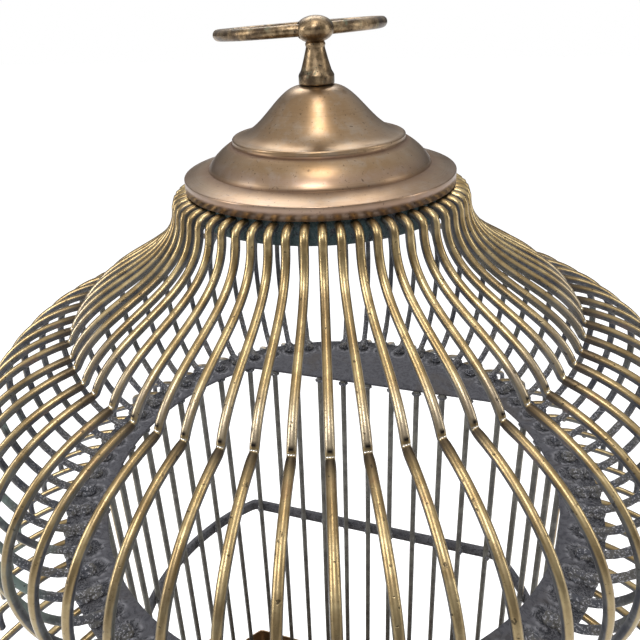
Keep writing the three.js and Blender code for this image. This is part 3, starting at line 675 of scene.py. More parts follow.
# ---- cap, finial, ring ----------------------------------------------------------
def cap_outline():
    """The cap's outside from top hole to skirt: Bezier crown, step, round bulge, flange and skirt."""
    reach = CAP_STEP_R - CAP_TOP_R
    foot = CAP_STEP_Z - CAP_STEP_H
    crown = bezier(
        [
            (CAP_TOP_R, CAP_TOP_Z),
            (CAP_TOP_R + 0.34 * reach, CAP_TOP_Z - 1.2),
            (CAP_TOP_R + 0.56 * reach, CAP_STEP_Z + 1.2),
            (CAP_STEP_R - 0.5, CAP_STEP_Z + 0.1),
        ],
        40,
    )
    edge_r, edge_z = CAP_STEP_R, CAP_STEP_Z
    lip = bezier([(edge_r - 0.4, edge_z), (edge_r + 0.2, edge_z - 0.3), (edge_r, edge_z - 1)], 6)
    hollow = bezier([(edge_r - 0.1, edge_z - 1.4), (edge_r, foot), (edge_r + 1, foot - 0.2)], 6)
    bulge = bezier(
        [
            (CAP_STEP_R + 1.3, foot - 0.3),
            (CAP_STEP_R + 4.7, foot - 1.8),
            (CAP_BULGE_R - 2.3, CAP_BULGE_Z + 5.1),
            (CAP_BULGE_R, CAP_BULGE_Z + 0.6),
        ],
        26,
    )
    flange = eased(
        [
            (CAP_BULGE_R, CAP_BULGE_Z + 0.5),
            (CAP_BULGE_R + 0.2, CAP_BULGE_Z - 0.15),
            (CAP_R, 0.0),
            (CAP_R, -CAP_SKIRT_H),
        ],
        0.5,
    )
    return np.vstack([crown, lip, hollow, bulge, flange[1:]])


def spun_cap():
    """The cap's outline and the same outline a wall's thickness inside it, turned about the axis."""
    outside = cap_outline()
    along = np.gradient(outside, axis=0)
    along /= np.linalg.norm(along, axis=1)[:, None]
    inside = outside + np.stack([along[:, 1], -along[:, 0]], 1) * CAP_T
    keep = slice(2, -1, 3)
    inside = np.vstack([inside[keep], [(CAP_R - CAP_T, -CAP_SKIRT_H)]])
    bore = STEM_R + GAP
    loop = np.vstack([[(bore, CAP_TOP_Z)], outside, inside[::-1], [(bore, CAP_TOP_Z - CAP_T)]])
    return turned(loop + np.array([0, CAP_Z]), 160, closed=True)


def turn_ring(points):
    """Points in the ring's own frame, tilted back, leaned to the left and turned round the axis."""
    c, t = math.cos(RING_TILT), math.sin(RING_TILT)
    tilt = np.array([[1, 0, 0], [0, c, -t], [0, t, c]])
    c, t = math.cos(RING_LEAN), math.sin(RING_LEAN)
    lean = np.array([[c, 0, -t], [0, 1, 0], [t, 0, c]])
    c, t = math.cos(RING_TURN), math.sin(RING_TURN)
    turn = np.array([[c, -t, 0], [t, c, 0], [0, 0, 1]])
    return points @ (turn @ lean @ tilt).T + np.array([0, 0, BALL_Z])


def finial():
    """A turned stem whose neck runs up into a squashed ball with a cross hole.

    The ball is drawn round the hole's line: its distance from that line follows the ellipsoid,
    x^2/R^2 + y^2/R^2 + z^2/H^2 = 1, between the hole's two rims.
    """
    foot = CAP_TOP_Z + GAP
    neck = BALL_Z - CAP_Z - BALL_HALF_H
    profile = eased(
        [
            (STEM_R, foot - 12),
            (STEM_R, foot),
            (BASE_R, foot),
            (BASE_R, foot + BASE_H),
            (BASE_R - 1.3, foot + BASE_H + 2.0),
            (NECK_R + 1.3, foot + BASE_H + 7.5),
            (NECK_R, neck - 1.6),
            (NECK_R + 0.5, neck - 0.4),
            (NECK_R - 0.2, neck + 0.9),
        ],
        0.9,
        7,
    )
    stem = turned(profile + np.array([0, CAP_Z]), 64)
    hole = RING_STOCK_R + RUN_GAP + BALL_R**2 / (4 * RING_R)
    b = np.linspace(0, 2 * math.pi, 72, endpoint=False)[None]
    squash = np.cos(b) ** 2 / BALL_R**2 + np.sin(b) ** 2 / BALL_HALF_H**2
    rim = np.sqrt(1 - hole**2 * squash)
    share = np.sin(np.linspace(-math.pi / 2, math.pi / 2, 33))[:, None]
    x = rim * share
    reach = np.sqrt((1 - x**2) / squash)
    back = rim * np.linspace(0.97, -0.97, 8)[:, None]
    x = np.vstack([x, back]) * BALL_R
    reach = np.vstack([reach, hole + 0 * back])
    ball = np.stack([x, reach * np.cos(b), reach * np.sin(b)], -1)
    return [stem, grid(turn_ring(ball), joined_rows=True)]


def carrying_ring():
    """A round stock swept round a circle whose near side sits in the ball's hole."""
    sag = BALL_R**2 / (4 * RING_R)
    a = np.linspace(0, 2 * math.pi, 160, endpoint=False)[:, None]
    b = np.linspace(0, 2 * math.pi, 20, endpoint=False)[None]
    stock = RING_STOCK_R * (1 + 0.012 * np.sin(3 * a) + 0.01 * np.sin(7 * a + 1))
    r = RING_R + stock * np.cos(b)
    points = np.stack([r * np.sin(a), RING_R - sag - r * np.cos(a), stock * np.sin(b)], -1)
    return grid(turn_ring(points), joined_rows=True)


def collar():
    """A band whose outside swells into a bead of solder at every wire: radius + cos(30 a)^8."""
    a = np.linspace(0, 2 * math.pi, 720, endpoint=False)
    top, low = CAP_Z - CAP_SKIRT_H + 3.6, CAP_Z - COLLAR_DEPTH
    z = np.r_[np.linspace(low + 0.3, top - 0.3, 14), top, top, low, low]
    inset = np.r_[np.zeros(14), 0.3, 2.0, 2.0, 0.3]
    bead = np.cos(30 * (a - math.pi / 2)) ** 8
    high = np.exp(-(((z - (CAP_Z - CAP_SKIRT_H - 3)) / 3.2) ** 2)) * (inset == 0)
    rough = 0.18 * np.sin(17 * a + 2) * np.sin(41 * a)
    r = COLLAR_R - inset[:, None] + (0.9 * high[:, None] * bead + (inset == 0)[:, None] * rough)
    points = np.stack([r * np.cos(a), r * np.sin(a), z[:, None] + 0 * r], -1)
    # The whole band is darkened: partly its own dark patina, partly painted shade under the cap's skirt.
    own = {"solder": high[:, None] * bead * 0.3, "dark": np.ones((1, 1))}
    return grid(points, joined_rows=True, values=own)


# ---- dome ------------------------------------------------------------------------
def dome_path():
    """One wire's centre line as (radius, drop below the cap's flange): bend, ogee to the kink, lobe, foot."""
    flare, fall = KINK_R - WIRE_TOP_R, KINK_Z - WIRE_TOP_Z
    swell, drop = LOBE_R - KINK_R, LOBE_Z - KINK_Z
    foot = DOME_H - WIRE_D / 2 - GAP
    tip = CAP_SKIRT_H + WIRE_D / 2 + 2 * GAP
    bend = bezier([(COLLAR_R + 0.4, tip), (WIRE_TOP_R - 1.8, tip), (WIRE_TOP_R, WIRE_TOP_Z)], 12)
    ogee = bezier(
        [
            (WIRE_TOP_R, WIRE_TOP_Z),
            (WIRE_TOP_R + 0.016 * flare, WIRE_TOP_Z + 0.54 * fall),
            (KINK_R - 0.2 * flare, WIRE_TOP_Z + 0.585 * fall),
            (KINK_R, KINK_Z),
        ],
        60,
    )
    shoulder = bezier(
        [
            (KINK_R, KINK_Z),
            (KINK_R + 0.6 * swell, KINK_Z + 0.11 * drop),
            (LOBE_R, KINK_Z + 0.46 * drop),
            (LOBE_R, LOBE_Z),
        ],
        50,
    )
    belly = bezier(
        [
            (LOBE_R, LOBE_Z),
            (LOBE_R, LOBE_Z + 0.49 * (foot - LOBE_Z)),
            (LOBE_R - 0.42 * (LOBE_R - FOOT_R), foot),
            (FOOT_R, foot),
        ],
        60,
    )
    upper, _ = evenly(np.vstack([bend, ogee[1:]]), 2.6)
    lower, _ = evenly(np.vstack([shoulder, belly[1:]]), 3.0)
    near = np.array([[-1.5], [-0.5]]) * (upper[-1] - upper[-2]) / 2.6
    return np.vstack([upper[:-1], upper[-1] + near, upper[-1:], lower[1:]])


def dome_wire(number, path):
    """Round stock along the centre line, in the upright plane of its azimuth.

    A maker's small unevenness moves the line, and the stock is pinched at the kink and thickened
    by solder at its foot.
    """
    azimuth = number * 360 / WIRES
    kink = np.argmin(np.hypot(path[:, 0] - KINK_R, path[:, 1] - KINK_Z))
    run = np.r_[0, np.cumsum(np.linalg.norm(np.diff(path, axis=0), axis=1))]
    from_kink = run - run[kink]
    line = path.copy()
    fade = np.exp(-((from_kink / 60) ** 2))
    line[:, 1] += dice.normal(0, 0.45) * fade
    sway = dice.normal(0, 0.16) * fade
    sway = sway + dice.normal(0, 0.10) * np.exp(-(((from_kink - 110) / 60) ** 2))
    line[kink - 2 : kink + 3] = softened(line[kink - 2 : kink + 3], 1)
    a = np.radians(azimuth + sway)
    points = np.stack([line[:, 0] * np.sin(a), -line[:, 0] * np.cos(a), CAP_Z - line[:, 1]], 1)
    pinch = 1 - 0.08 * np.exp(-((from_kink / 2.0) ** 2)) + 0.06 * np.exp(-(((from_kink - 5) / 4) ** 2))
    low = np.clip(from_kink / 190, 0, 1)
    to_foot = run[-1] - run
    solder = np.clip((46 + dice.normal(0, 7) - to_foot) / 16, 0, 1)
    pinch = pinch + solder * (0.10 + 0.05 * np.sin(run * 0.9) + dice.normal(0, 0.02, len(run)))
    side = (math.cos(math.radians(azimuth)), math.sin(math.radians(azimuth)), 0)
    return tube(points, WIRE_D / 2 * pinch, side, 14, {"run": from_kink, "low": low, "solder": solder})


def dome_section(index, path):
    """Five dome wires, each with two blobs of solder along its foot."""
    first = index * WIRES_PER_SECTION
    wires = [dome_wire(first + i, path) for i in range(WIRES_PER_SECTION)]
    for i in range(WIRES_PER_SECTION):
        a = (first + i) * 360 / WIRES
        wires.append(lump(around(FOOT_R + 3.0, a, PLATE_Z + 1.0), (5.0, 5.0, 2.0), 12, 6))
        wires.append(lump(around(FOOT_R + 9.5, a, PLATE_Z + 1.4), (4.2, 4.2, 2.6), 12, 6))
    return wires


def waist_plate():
    """A flat plate between the D-shaped hole and a round edge.

    Its top is a height field: a loop of solder round each foot's end, a hollow inside it, rough
    scabs beyond the feet and low swirls between.
    """
    a = np.linspace(0, 2 * math.pi, 1440, endpoint=False)
    inner = d_reach(a, PLATE_HOLE_R, BACK_Y, 0.8)
    top, low = PLATE_Z, PLATE_Z - PLATE_T
    share = np.linspace(0, 1, 34)[:, None]
    r_top = inner + 0.4 + (PLATE_R - 0.8 - inner) * share
    pitch = 2 * math.pi / WIRES
    across = FOOT_R * ((a - math.pi / 2 + pitch / 2) % pitch - pitch / 2)
    wobble = 0.7 * np.sin(5 * a + 1) + 0.6 * np.sin(13 * a)
    off = np.hypot(across, r_top - FOOT_R + 0.5 + wobble) - 6.4 - 0.5 * np.sin(7 * a)
    loop = np.exp(-((off / 1.25) ** 2)) * (r_top < FOOT_R + 5)
    hollow = 1 / (1 + np.exp(off * 2.2))
    swirl = 0.5 + 0.5 * np.sin(23 * a + 0.35 * r_top) * np.sin(0.55 * r_top + 9 * np.sin(7 * a))
    fine = np.sin(97 * a + 1.9 * r_top) * np.sin(61 * a - 1.3 * r_top + 2)
    scab = (1 / (1 + np.exp((FOOT_R - 1 - r_top) / 1.5))) * (0.4 + 0.6 * swirl)
    loop = loop * (0.45 + 0.55 * np.sin(47 * a + 0.8 * r_top) ** 2)
    height = 0.85 * loop - 0.25 * hollow + 0.45 * scab + 0.08 * swirl + 0.22 * scab * fine
    height = height * np.minimum(1, np.minimum(share, 1 - share) * 8)
    flat = 0 * a
    rim = flat + PLATE_R
    r = np.vstack([inner, r_top, rim, rim, rim - 0.4, inner + 0.4, inner])
    z_low = np.array([low + 0.4, low, low, low + 0.4])[:, None] + flat
    z = np.vstack([top - 0.4 + flat, top + height, top - 0.4 + flat, z_low])
    points = np.stack([r * np.cos(a), r * np.sin(a), z], -1)
    solder, dark = np.zeros(r.shape), np.zeros(r.shape)
    solder[1:35] = loop
    # Darkened share: the hollow round each foot is painted shade, the scabs are dark solder, and the edge and
    # underside are painted shade under the plate.
    dark[1:35] = np.clip(0.9 * hollow + 1.1 * scab + 0.15, 0, 1)
    dark[35:] = 0.9
    return grid(points, joined_rows=True, values={"solder": solder, "dark": dark})


def eave_wire(azimuth):
    """One eave wire: level under the plate, down the eave's slope and round into a short upright hook."""
    under = PLATE_Z - PLATE_T - 0.5 - EAVE_WIRE_D / 2
    flare = EAVE_R - PLATE_R
    slope = bezier(
        [
            (EAVE_FOOT_R, 0),
            (PLATE_R + 0.2 * flare, 0),
            (PLATE_R + 0.55 * flare, 0.45 * EAVE_DROP),
            (EAVE_R - 3, 0.9 * EAVE_DROP),
        ],
        16,
    )
    tip = (EAVE_R, EAVE_DROP + EAVE_HOOK)
    hook = bezier([(EAVE_R - 3, 0.9 * EAVE_DROP), (EAVE_R, EAVE_DROP), tip], 9)
    line, run = evenly(np.vstack([slope, hook[1:]]), 4.0)
    a = math.radians(azimuth + dice.normal(0, 0.12))
    points = np.stack([line[:, 0] * math.sin(a), -line[:, 0] * math.cos(a), under - line[:, 1]], 1)
    own = {"low": 0.5 * run / run[-1], "run": FAR + 0 * run}
    return tube(points, EAVE_WIRE_D / 2, (math.cos(a), math.sin(a), 0), 10, own)


def eave_section(index):
    """Ten eave wires, each with a blob of solder where it leaves the plate."""
    made = []
    for i in range(EAVE_WIRES_PER_SECTION):
        azimuth = (index * EAVE_WIRES_PER_SECTION + i) * 360 / WIRES
        made.append(eave_wire(azimuth))
        joint = around(EAVE_FOOT_R + 2, azimuth, PLATE_Z - PLATE_T - 2.0)
        made.append(lump(joint, (3.6, 3.6, 1.7)))
    return made


# ---- body ------------------------------------------------------------------------
def body_side(first, last):
    """Leaning wires every eight degrees, with a bead of solder at the plate, the rail and the hoop."""
    made = []
    for azimuth in np.arange(first, last + 0.1, BODY_PITCH):
        foot, head = around(BODY_BASE_R, azimuth, BODY_Z), around(BODY_TOP_R, azimuth, BODY_TOP)
        made.append(rod(foot, head, BODY_WIRE_D / 2, 10, 14, 0.35))
        made += beads(foot, head)
    return made


def beads(foot, head):
    """The solder at a body wire's foot, at the rail behind it and under the waist plate."""
    middle = foot + (head - foot) * (1 - RAIL_DROP / BODY_H) + away(foot) * 1.4
    return [
        lump(foot + (0, 0, 1.7), (4.0, 4.0, 2.0)),
        lump(middle, (3.3, 3.3, 5.6)),
        lump(head - (0, 0, 1.3), (4.2, 4.2, 1.6)),
    ]


def body_back():
    """The flat back's wires, evenly spaced between two corner wires, spreading towards the foot."""
    corner = math.sqrt(BODY_TOP_R**2 - BACK_Y**2) - 2
    spread = BODY_BASE_R / BODY_TOP_R
    count = int((corner - BACK_PITCH / 2) / BACK_PITCH)
    made = []
    for x in [-corner, corner, *(i * BACK_PITCH for i in range(-count, count + 1))]:
        foot = np.array([x * spread, BACK_Y, BODY_Z])
        head = np.array([x, BACK_Y, BODY_TOP])
        made.append(rod(foot, head, BODY_WIRE_D / 2, 10, 14, 0.35))
        made += beads(foot, head)
    return made


post_foot_y = -math.sqrt(BODY_BASE_R**2 - POST_X**2)
post_top_y = -math.sqrt(BODY_TOP_R**2 - POST_X**2)
post_lean = math.atan((post_top_y - post_foot_y) / BODY_H)


def door_plane(h):
    """How far forward the leaning door posts stand at a height above their foot."""
    return post_foot_y + h * math.tan(post_lean)


def leaning(x, h, out=0.0):
    """Points in the door's own upright frame, leaned back with the posts."""
    c, s = math.cos(post_lean), math.sin(post_lean)
    x, h, out = np.broadcast_arrays(x, h, out)
    return np.stack([x, post_foot_y + out * c + h * s, BODY_Z + h * c - out * s], -1)


def door_frame():
    """Two posts, a sill and a header, the short wires below and above them, and the latch's stud."""
    header = DOOR_SILL + DOOR_H
    made = []
    for x in (-POST_X, POST_X):
        foot, head = np.array([x, post_foot_y, BODY_Z]), np.array([x, post_top_y, BODY_TOP])
        made.append(rod(foot, head, POST_R, 16, 14))
        made += beads(foot, head)
    for h in (DOOR_SILL, header):
        made.append(rod((-POST_X, door_plane(h), BODY_Z + h), (POST_X, door_plane(h), BODY_Z + h), ROD_R))
        for x in (-POST_X, POST_X):
            made.append(lump((x, door_plane(h), BODY_Z + h), (3.4, 3.4, 3.0)))
    for share in (-1.5, -0.5, 0.5, 1.5):
        azimuth = share * BODY_PITCH
        x = BODY_BASE_R * math.sin(math.radians(azimuth))
        at_sill = (x, door_plane(DOOR_SILL), BODY_Z + DOOR_SILL)
        at_header = (x, door_plane(header), BODY_Z + header)
        top = around(BODY_TOP_R, azimuth, BODY_TOP)
        made.append(rod((x, post_foot_y, BODY_Z), at_sill, BODY_WIRE_D / 2, 10, 4))
        made.append(rod(at_header, top, BODY_WIRE_D / 2, 10, 10, 0.2))
        for h in (DOOR_SILL, header):
            made.append(lump((x, door_plane(h), BODY_Z + h), (3.1, 3.1, 2.9), 8, 4))
    h = DOOR_SILL + DOOR_H * 0.55
    y, z = door_plane(h), BODY_Z + h
    out = POST_R + GAP + 18 * math.tan(post_lean) + 2 + GAP
    head = [(3.0, out), (3.0, out + 0.7), (1.6, out + 1.3), (0.5, out + 1.3)]
    stud = eased([(1.6, 0), (1.6, out), *head], 0.3)
    made.append(facing_front(turned(stud, 24), (POST_X, y, z)))
    return made


def facing_front(surface, place):
    """A turned surface laid over so that its axis points to the front."""
    verts, quads, tris, values = surface
    verts = np.stack([verts[:, 0], -verts[:, 2], verts[:, 1]], 1) + np.array(place, float)
    return outward(verts, quads, tris, values)


def door():
    """The wire door: a rounded frame, four uprights and two rolled knuckles on the left post."""
    left = -POST_X + KNUCKLE_R + ROD_R - 0.9
    right = POST_X - 4 - ROD_R - 1.2
    foot = DOOR_SILL / math.cos(post_lean) + 2 * ROD_R + 1.2
    head = (DOOR_SILL + DOOR_H) / math.cos(post_lean) - 2 * ROD_R - 1.2
    c = 2.2
    loop = [(left + c, foot), (right - c, foot), (right, foot), (right, foot + c)]
    loop += [(right, head - c), (right, head), (right - c, head), (left + c, head)]
    loop += [(left, head), (left, head - c), (left, foot + c), (left, foot)]
    path = []
    for i in range(0, 12, 3):
        path.append(bezier([loop[i], loop[i + 1]], 12)[:-1])
        path.append(bezier([loop[i + 1], loop[i + 2], loop[(i + 3) % 12]], 7)[:-1])
    flat = np.vstack(path)
    lean = leaning(flat[:, 0], flat[:, 1])
    made = [looped(lean, ROD_R, leaning(0, 0, 1.0) - leaning(0, 0))]
    for i in range(1, 5):
        x = left + (right - left) * i / 5
        made.append(rod(leaning(x, foot), leaning(x, head), DOOR_WIRE_D / 2, 10, 8, 0.1))
        made.append(lump(leaning(x, foot), (2.0, 2.2, 2.2), 8, 4))
        made.append(lump(leaning(x, head), (2.0, 2.2, 2.2), 8, 4))
    for h in (foot + 16, head - 16):
        bore, out = POST_R + RUN_GAP, KNUCKLE_R
        profile = eased([(bore, -4.5), (out, -4.5), (out, 4.5), (bore, 4.5)], 0.5)
        profile = np.vstack([profile, [(bore, 3.0), (bore, -3.0)]])
        knuckle = turned(profile, 32, closed=True)
        x, y, z = knuckle[0].T
        made.append(outward(leaning(-POST_X + x, h + z, y), *knuckle[1:]))
    return made


def looped(path, radius, side, sides=12):
    """A round section carried round a closed path."""
    tangent = np.roll(path, -1, 0) - np.roll(path, 1, 0)
    tangent /= np.linalg.norm(tangent, axis=1)[:, None]
    side = np.broadcast_to(side, path.shape)
    up = np.cross(tangent, side)
    a = np.linspace(0, 2 * math.pi, sides, endpoint=False)
    out = np.cos(a)[None, :, None] * side[:, None] + np.sin(a)[None, :, None] * up[:, None]
    own = {"inside": 0.5 - 0.5 * out @ away(path.mean(0)), "run": np.full((1, 1), FAR)}
    return grid(path[:, None] + radius * out, joined_rows=True, values=own)


def perch(node):
    """A turned dowel: radius with slow swells and rounded ends."""
    low, high = extent(node)
    y, z, r = (low[1] + high[1]) / 2, (low[2] + high[2]) / 2, (high[2] - low[2]) / 2
    end = np.array([0.0, 0.5, 1.2])
    x = np.r_[low[0] + end, np.linspace(low[0] + 2, high[0] - 2, 80), high[0] - end[::-1]]
    radius = r * (0.985 - 0.012 * np.sin(x / 17) - 0.01 * np.sin(x / 7 + z))
    radius[[0, -1]], radius[[1, -2]], radius[[2, -3]] = r * 0.8, r * 0.92, r * 0.97
    path = np.stack([x, y + 0 * x, z + 0 * x], 1)
    return tube(path, radius, (0, 1, 0), 40, dome=False)


def feeder_cup(node):
    """A flared china cup with a rolled rim: its outside, rim and inside turned about its own axis."""
    low, high = extent(node)
    cx, cy = (low[:2] + high[:2]) / 2
    profile = eased(
        [(0.5, 0), (18.6, 0), (19.2, 0.8), (24, 34), (28, 36), (28, 40), (23, 40), (16.6, 2.9), (0.5, 2.5)],
        1.4,
        6,
    )
    return turned(profile, 96, (cx, cy, low[2]))


def cup_holder(node, side):
    """A ring that carries a feeder cup, on two arms that run out to the body wires."""
    low, high = extent(node)
    z = (low[2] + high[2]) / 2
    cx = side * CUP_X
    profile = eased([(24.3, -1.5), (27.4, -1.5), (27.4, 1.5), (24.3, 1.5)], 0.8)
    profile = np.vstack([profile, [(24.3, 0.8), (24.3, -0.8)]])
    made = [turned(profile, 96, (cx, CUP_Y, z), closed=True)]
    share = (low[2] - BODY_Z) / BODY_H
    wall = BODY_BASE_R + (BODY_TOP_R - BODY_BASE_R) * share - BODY_WIRE_D / 2 - 1.2
    for y in (CUP_Y - 12, CUP_Y + 12):
        end = math.sqrt(wall**2 - y**2)
        made.append(rod((side * 138.5, y, z), (side * end, y, z), 1.5, 12, 6))
    return made


# ---- pan and stand -----------------------------------------------------------------
def seed_pan():
    """The D-shaped pan: wall, rolled rim, inside wall and floor, closed at the middle above and below."""
    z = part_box("seed_pan")[0].z / MM
    wall = [(1.2, 0), (0, 0.0), (0, PAN_H - 1.2), (0.2, PAN_H), (PAN_T, PAN_H - 0.2)]
    wall = eased([*wall, (PAN_T, PAN_T), (5, PAN_T)], 0.7)
    bottom = [(inset, 0.0) for inset in (111.0, 85.0, 50.0, 20.0, 3.0)]
    floor = [(inset, PAN_T) for inset in (20.0, 50.0, 85.0, 111.0)]
    profile = np.vstack([bottom, wall, floor]) + np.array([0, z])
    return d_turned(profile, PAN_R, PAN_BACK, closed=False)


def stand_frame():
    """The D-shaped frame: an upstanding lip, and a bed whose top dips into a round sink at each screw."""
    low, high = (v.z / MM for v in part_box("stand_frame"))
    radius, back = PAN_R + FRAME_CLEAR, PAN_BACK + FRAME_CLEAR
    top = low + FRAME_T
    lip = eased([(1, low), (0, low), (0, high), (3, high), (3, low), (1, low)], 0.7)
    made = [d_turned(lip[:-1], radius, back)]
    a = np.linspace(0, 2 * math.pi, 1440, endpoint=False)
    inset = np.r_[np.linspace(2.0, 23.6, 40), FRAME_W, FRAME_W, 23.6, 2.0]
    r = np.array([d_reach(a, radius - i, back - i) for i in inset])
    z = np.r_[np.full(40, top), top - 0.4, low + 0.4, low, low][:, None] + 0 * r
    points = np.stack([r * np.cos(a), r * np.sin(a), z], -1)
    for x, y in (middle(f"leg_screw_{tail}") for tail in TAILS):
        far = np.hypot(points[:40, :, 0] - x, points[:40, :, 1] - y)
        points[:40, :, 2] -= 3 / (1 + np.exp((far - 5.3) * 6))
    made.append(grid(points, joined_rows=True))
    return made


def leg(tail):
    """A tube from the frame to its foot, with turned collars at its ends and round the stretchers."""
    top_x, top_y = middle(f"leg_screw_{tail}")
    foot_x, foot_y = middle(f"foot_{tail}")
    low, high = (v.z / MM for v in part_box(f"leg_{tail}"))
    t = np.linspace(0, 1, 240)
    z = low + (high - low) * t
    path = np.stack([foot_x + (top_x - foot_x) * t, foot_y + (top_y - foot_y) * t, z], 1)
    radius = LEG_R + 0 * z
    for at in (low + 14, STRETCH_Z - 9, STRETCH_Z + 9, high - 16):
        radius = radius + 1.3 * np.exp(-(((z - at) / 2.6) ** 4))
    return tube(path, radius, (0, 1, 0), 32, dome=False)


def foot(node):
    """A turned ball foot on a flat pad: ball radius times cos(a)^0.8 across, and sin(a) up."""
    low, high = extent(node)
    cx, cy = (low[:2] + high[:2]) / 2
    a = np.linspace(-0.9, 0.95, 24)
    ball = np.stack([FOOT_BALL_R * np.cos(a) ** 0.8, 8.6 + 9.2 * np.sin(a)], 1)
    pad, neck = [(1, 0), (6.6, 0), (7.4, 0.5)], [(7.2, 16.6), (7.6, 17.2), (7.4, 18), (1, 18)]
    profile = np.vstack([pad, ball[1:], neck])
    return turned(profile, 48, (cx, cy, 0))


def leg_screw(node):
    """A screw with a low domed head: shank and head turned about its own axis."""
    low, high = extent(node)
    cx, cy = (low[:2] + high[:2]) / 2
    top = high[2]
    shank = [(0.4, low[2]), (2.4, low[2]), (2.7, low[2] + 1), (2.7, top - 2.1)]
    dome = [(4.9, top - 2.1), (5.0, top - 1.4), (4.2, top - 0.4), (2.0, top), (0.4, top)]
    return turned(shank + dome, 32, (cx, cy, 0))


def d_strip(node, radius, back, width):
    """A flat strip or hoop carried round the D-shaped plan, its edges eased."""
    low, high = (v.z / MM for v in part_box(node))
    h = high - low
    e = min(0.5, h / 4)
    side = [(0, low + e), (0, low + h / 3), (0, high - h / 3), (0, high - e), (e, high), (width - e, high)]
    side += [(width, high - e), (width, low + h / 2), (width, low + e), (width - e, low), (e, low)]
    a = np.linspace(0, 2 * math.pi, 360, endpoint=False)
    swirl = 0.5 + 0.5 * np.sin(31 * a) * np.sin(13 * a + 1)
    own = {"solder": 0.3 * np.array(len(side) * [swirl]), "dark": np.full((1, 1), 0.6)}
    return d_turned(side, radius, back, values=own)


def stretcher(node):
    """A slim bar between two legs with a small swell in the middle."""
    low, high = extent(node)
    mid, long = (low + high) / 2, int(np.argmax(high - low))
    t = np.linspace(-1, 1, 80)
    path = np.tile(mid, (80, 1))
    path[:, long] = mid[long] + (high - low)[long] / 2 * t
    radius = 3.6 + 0.35 * np.exp(-((t / 0.12) ** 2))
    return tube(path, radius, (0, 0, 1), 24, dome=False)


# ---- put it together -----------------------------------------------------------------
dome_brass = old_wire("dome_wire_brass", -0.06, 0.0)
body_brass = old_wire("body_wire_brass", 0.04, 0.75)
cap_brass = spun_brass("cap_spun_brass", 0.5)
pan_brass = spun_brass("pan_brass", 0.3)
cast_brass = turned_brass()
plate_solder = dull_solder("plate_solder", -0.10)
collar_solder = dull_solder("collar_verdigris", 0.14)
bronze = stand_bronze()
dowel = perch_wood()
china = cream_china()

piece("cap", [spun_cap()], cap_brass, "cage", ["spun_cap"])
piece("cap_finial", finial(), cast_brass, "cage", ["finial"])
piece("carrying_ring", [carrying_ring()], cast_brass, "ring", ["top_ring"])
piece("collar", [collar()], collar_solder, "cage", ["collar_band"])
line = dome_path()
for i in range(WIRES // WIRES_PER_SECTION):
    node = f"dome_wires_{i + 1:02d}"
    piece(node.replace("wires", "bars"), dome_section(i, line), dome_brass, "cage", [node])
piece("waist", [waist_plate()], plate_solder, "cage", ["waist_plate"])
for i in range(WIRES // EAVE_WIRES_PER_SECTION):
    piece(f"eave_bars_{i + 1}", eave_section(i), dome_brass, "cage", [f"eave_wires_{i + 1}"])
for hand, sign in (("right", 1), ("left", -1)):
    for part, (first, last) in (("front", (28, 76)), ("rear", (84, 124))):
        span = sorted((sign * first, sign * last))
        name = f"body_wires_{hand}_{part}"
        piece(name.replace("wires", "bars"), body_side(*span), body_brass, "cage", [name])
piece("body_bars_back", body_back(), body_brass, "cage", ["body_wires_back"])
piece("doorway", door_frame(), body_brass, "cage", ["door_frame"])
piece("wire_door", door(), body_brass, "door", ["door"])
rail_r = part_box("lower_rail")[1].x / MM
rail_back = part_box("lower_rail")[1].y / MM
rail = d_strip("lower_rail", rail_r, rail_back, RAIL_T)
hoop = d_strip("base_hoop", BODY_BASE_R + HOOP_W / 2, BACK_Y + HOOP_W / 2, HOOP_W)
piece("belt_rail", [rail], plate_solder, "cage", ["lower_rail"])
piece("foot_hoop", [hoop], plate_solder, "cage", ["base_hoop"])
for node in ("perch_front", "perch_rear"):
    piece(f"{node}_dowel", [perch(node)], dowel, "cage", [node])
for hand, sign in (("left", -1), ("right", 1)):
    node = f"feeder_cup_{hand}"
    piece(f"cup_{hand}", [feeder_cup(node)], china, f"cup_{hand}", [node])
    holder = cup_holder(f"cup_holder_{hand}", sign)
    piece(f"cup_ring_{hand}", holder, body_brass, "cage", [f"cup_holder_{hand}"])
piece("pan", [seed_pan()], pan_brass, "pan", ["seed_pan"])
piece("frame_tray", stand_frame(), bronze, "stand", ["stand_frame"])
for tail in TAILS:
    piece(f"tube_leg_{tail}", [leg(tail)], bronze, "stand", [f"leg_{tail}"])
    piece(f"turned_foot_{tail}", [foot(f"foot_{tail}")], bronze, "stand", [f"foot_{tail}"])
    node = f"leg_screw_{tail}"
    piece(f"screw_{tail}", [leg_screw(node)], cast_brass, "stand", [node])


for side_name in ("front", "back", "left", "right"):
    node = f"stretcher_{side_name}"
    piece(f"{node}_bar", [stretcher(node)], bronze, "stand", [node])

for node in ("finial_nut", "door_latch"):
    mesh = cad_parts[node].data
    mesh.materials.clear()
    mesh.materials.append(cast_brass)


# ---- floor, light, camera ---------------------------------------------------------------
def pale_floor():
    """A near-white floor, a little uneven and faintly lit from within."""
    f = Finish("pale_floor", Emission_Color=(1, 1, 1, 1), Emission_Strength=0.34)
    soft = f.noise(3.0, 3.0, 0.5)
    fine = f.noise(60.0, 4.0, 0.6)
    colour = f.blend(soft.step(0.3, 0.7), (0.90, 0.90, 0.905), (0.93, 0.93, 0.93))
    return f.done(colour, (0.62 + fine * 0.1).clamped(), None, f.bump(fine, 0.0003, 0.3))


bpy.ops.mesh.primitive_plane_add(size=30)
floor = bpy.context.object
floor.name = "floor"
floor.data.materials.append(pale_floor())


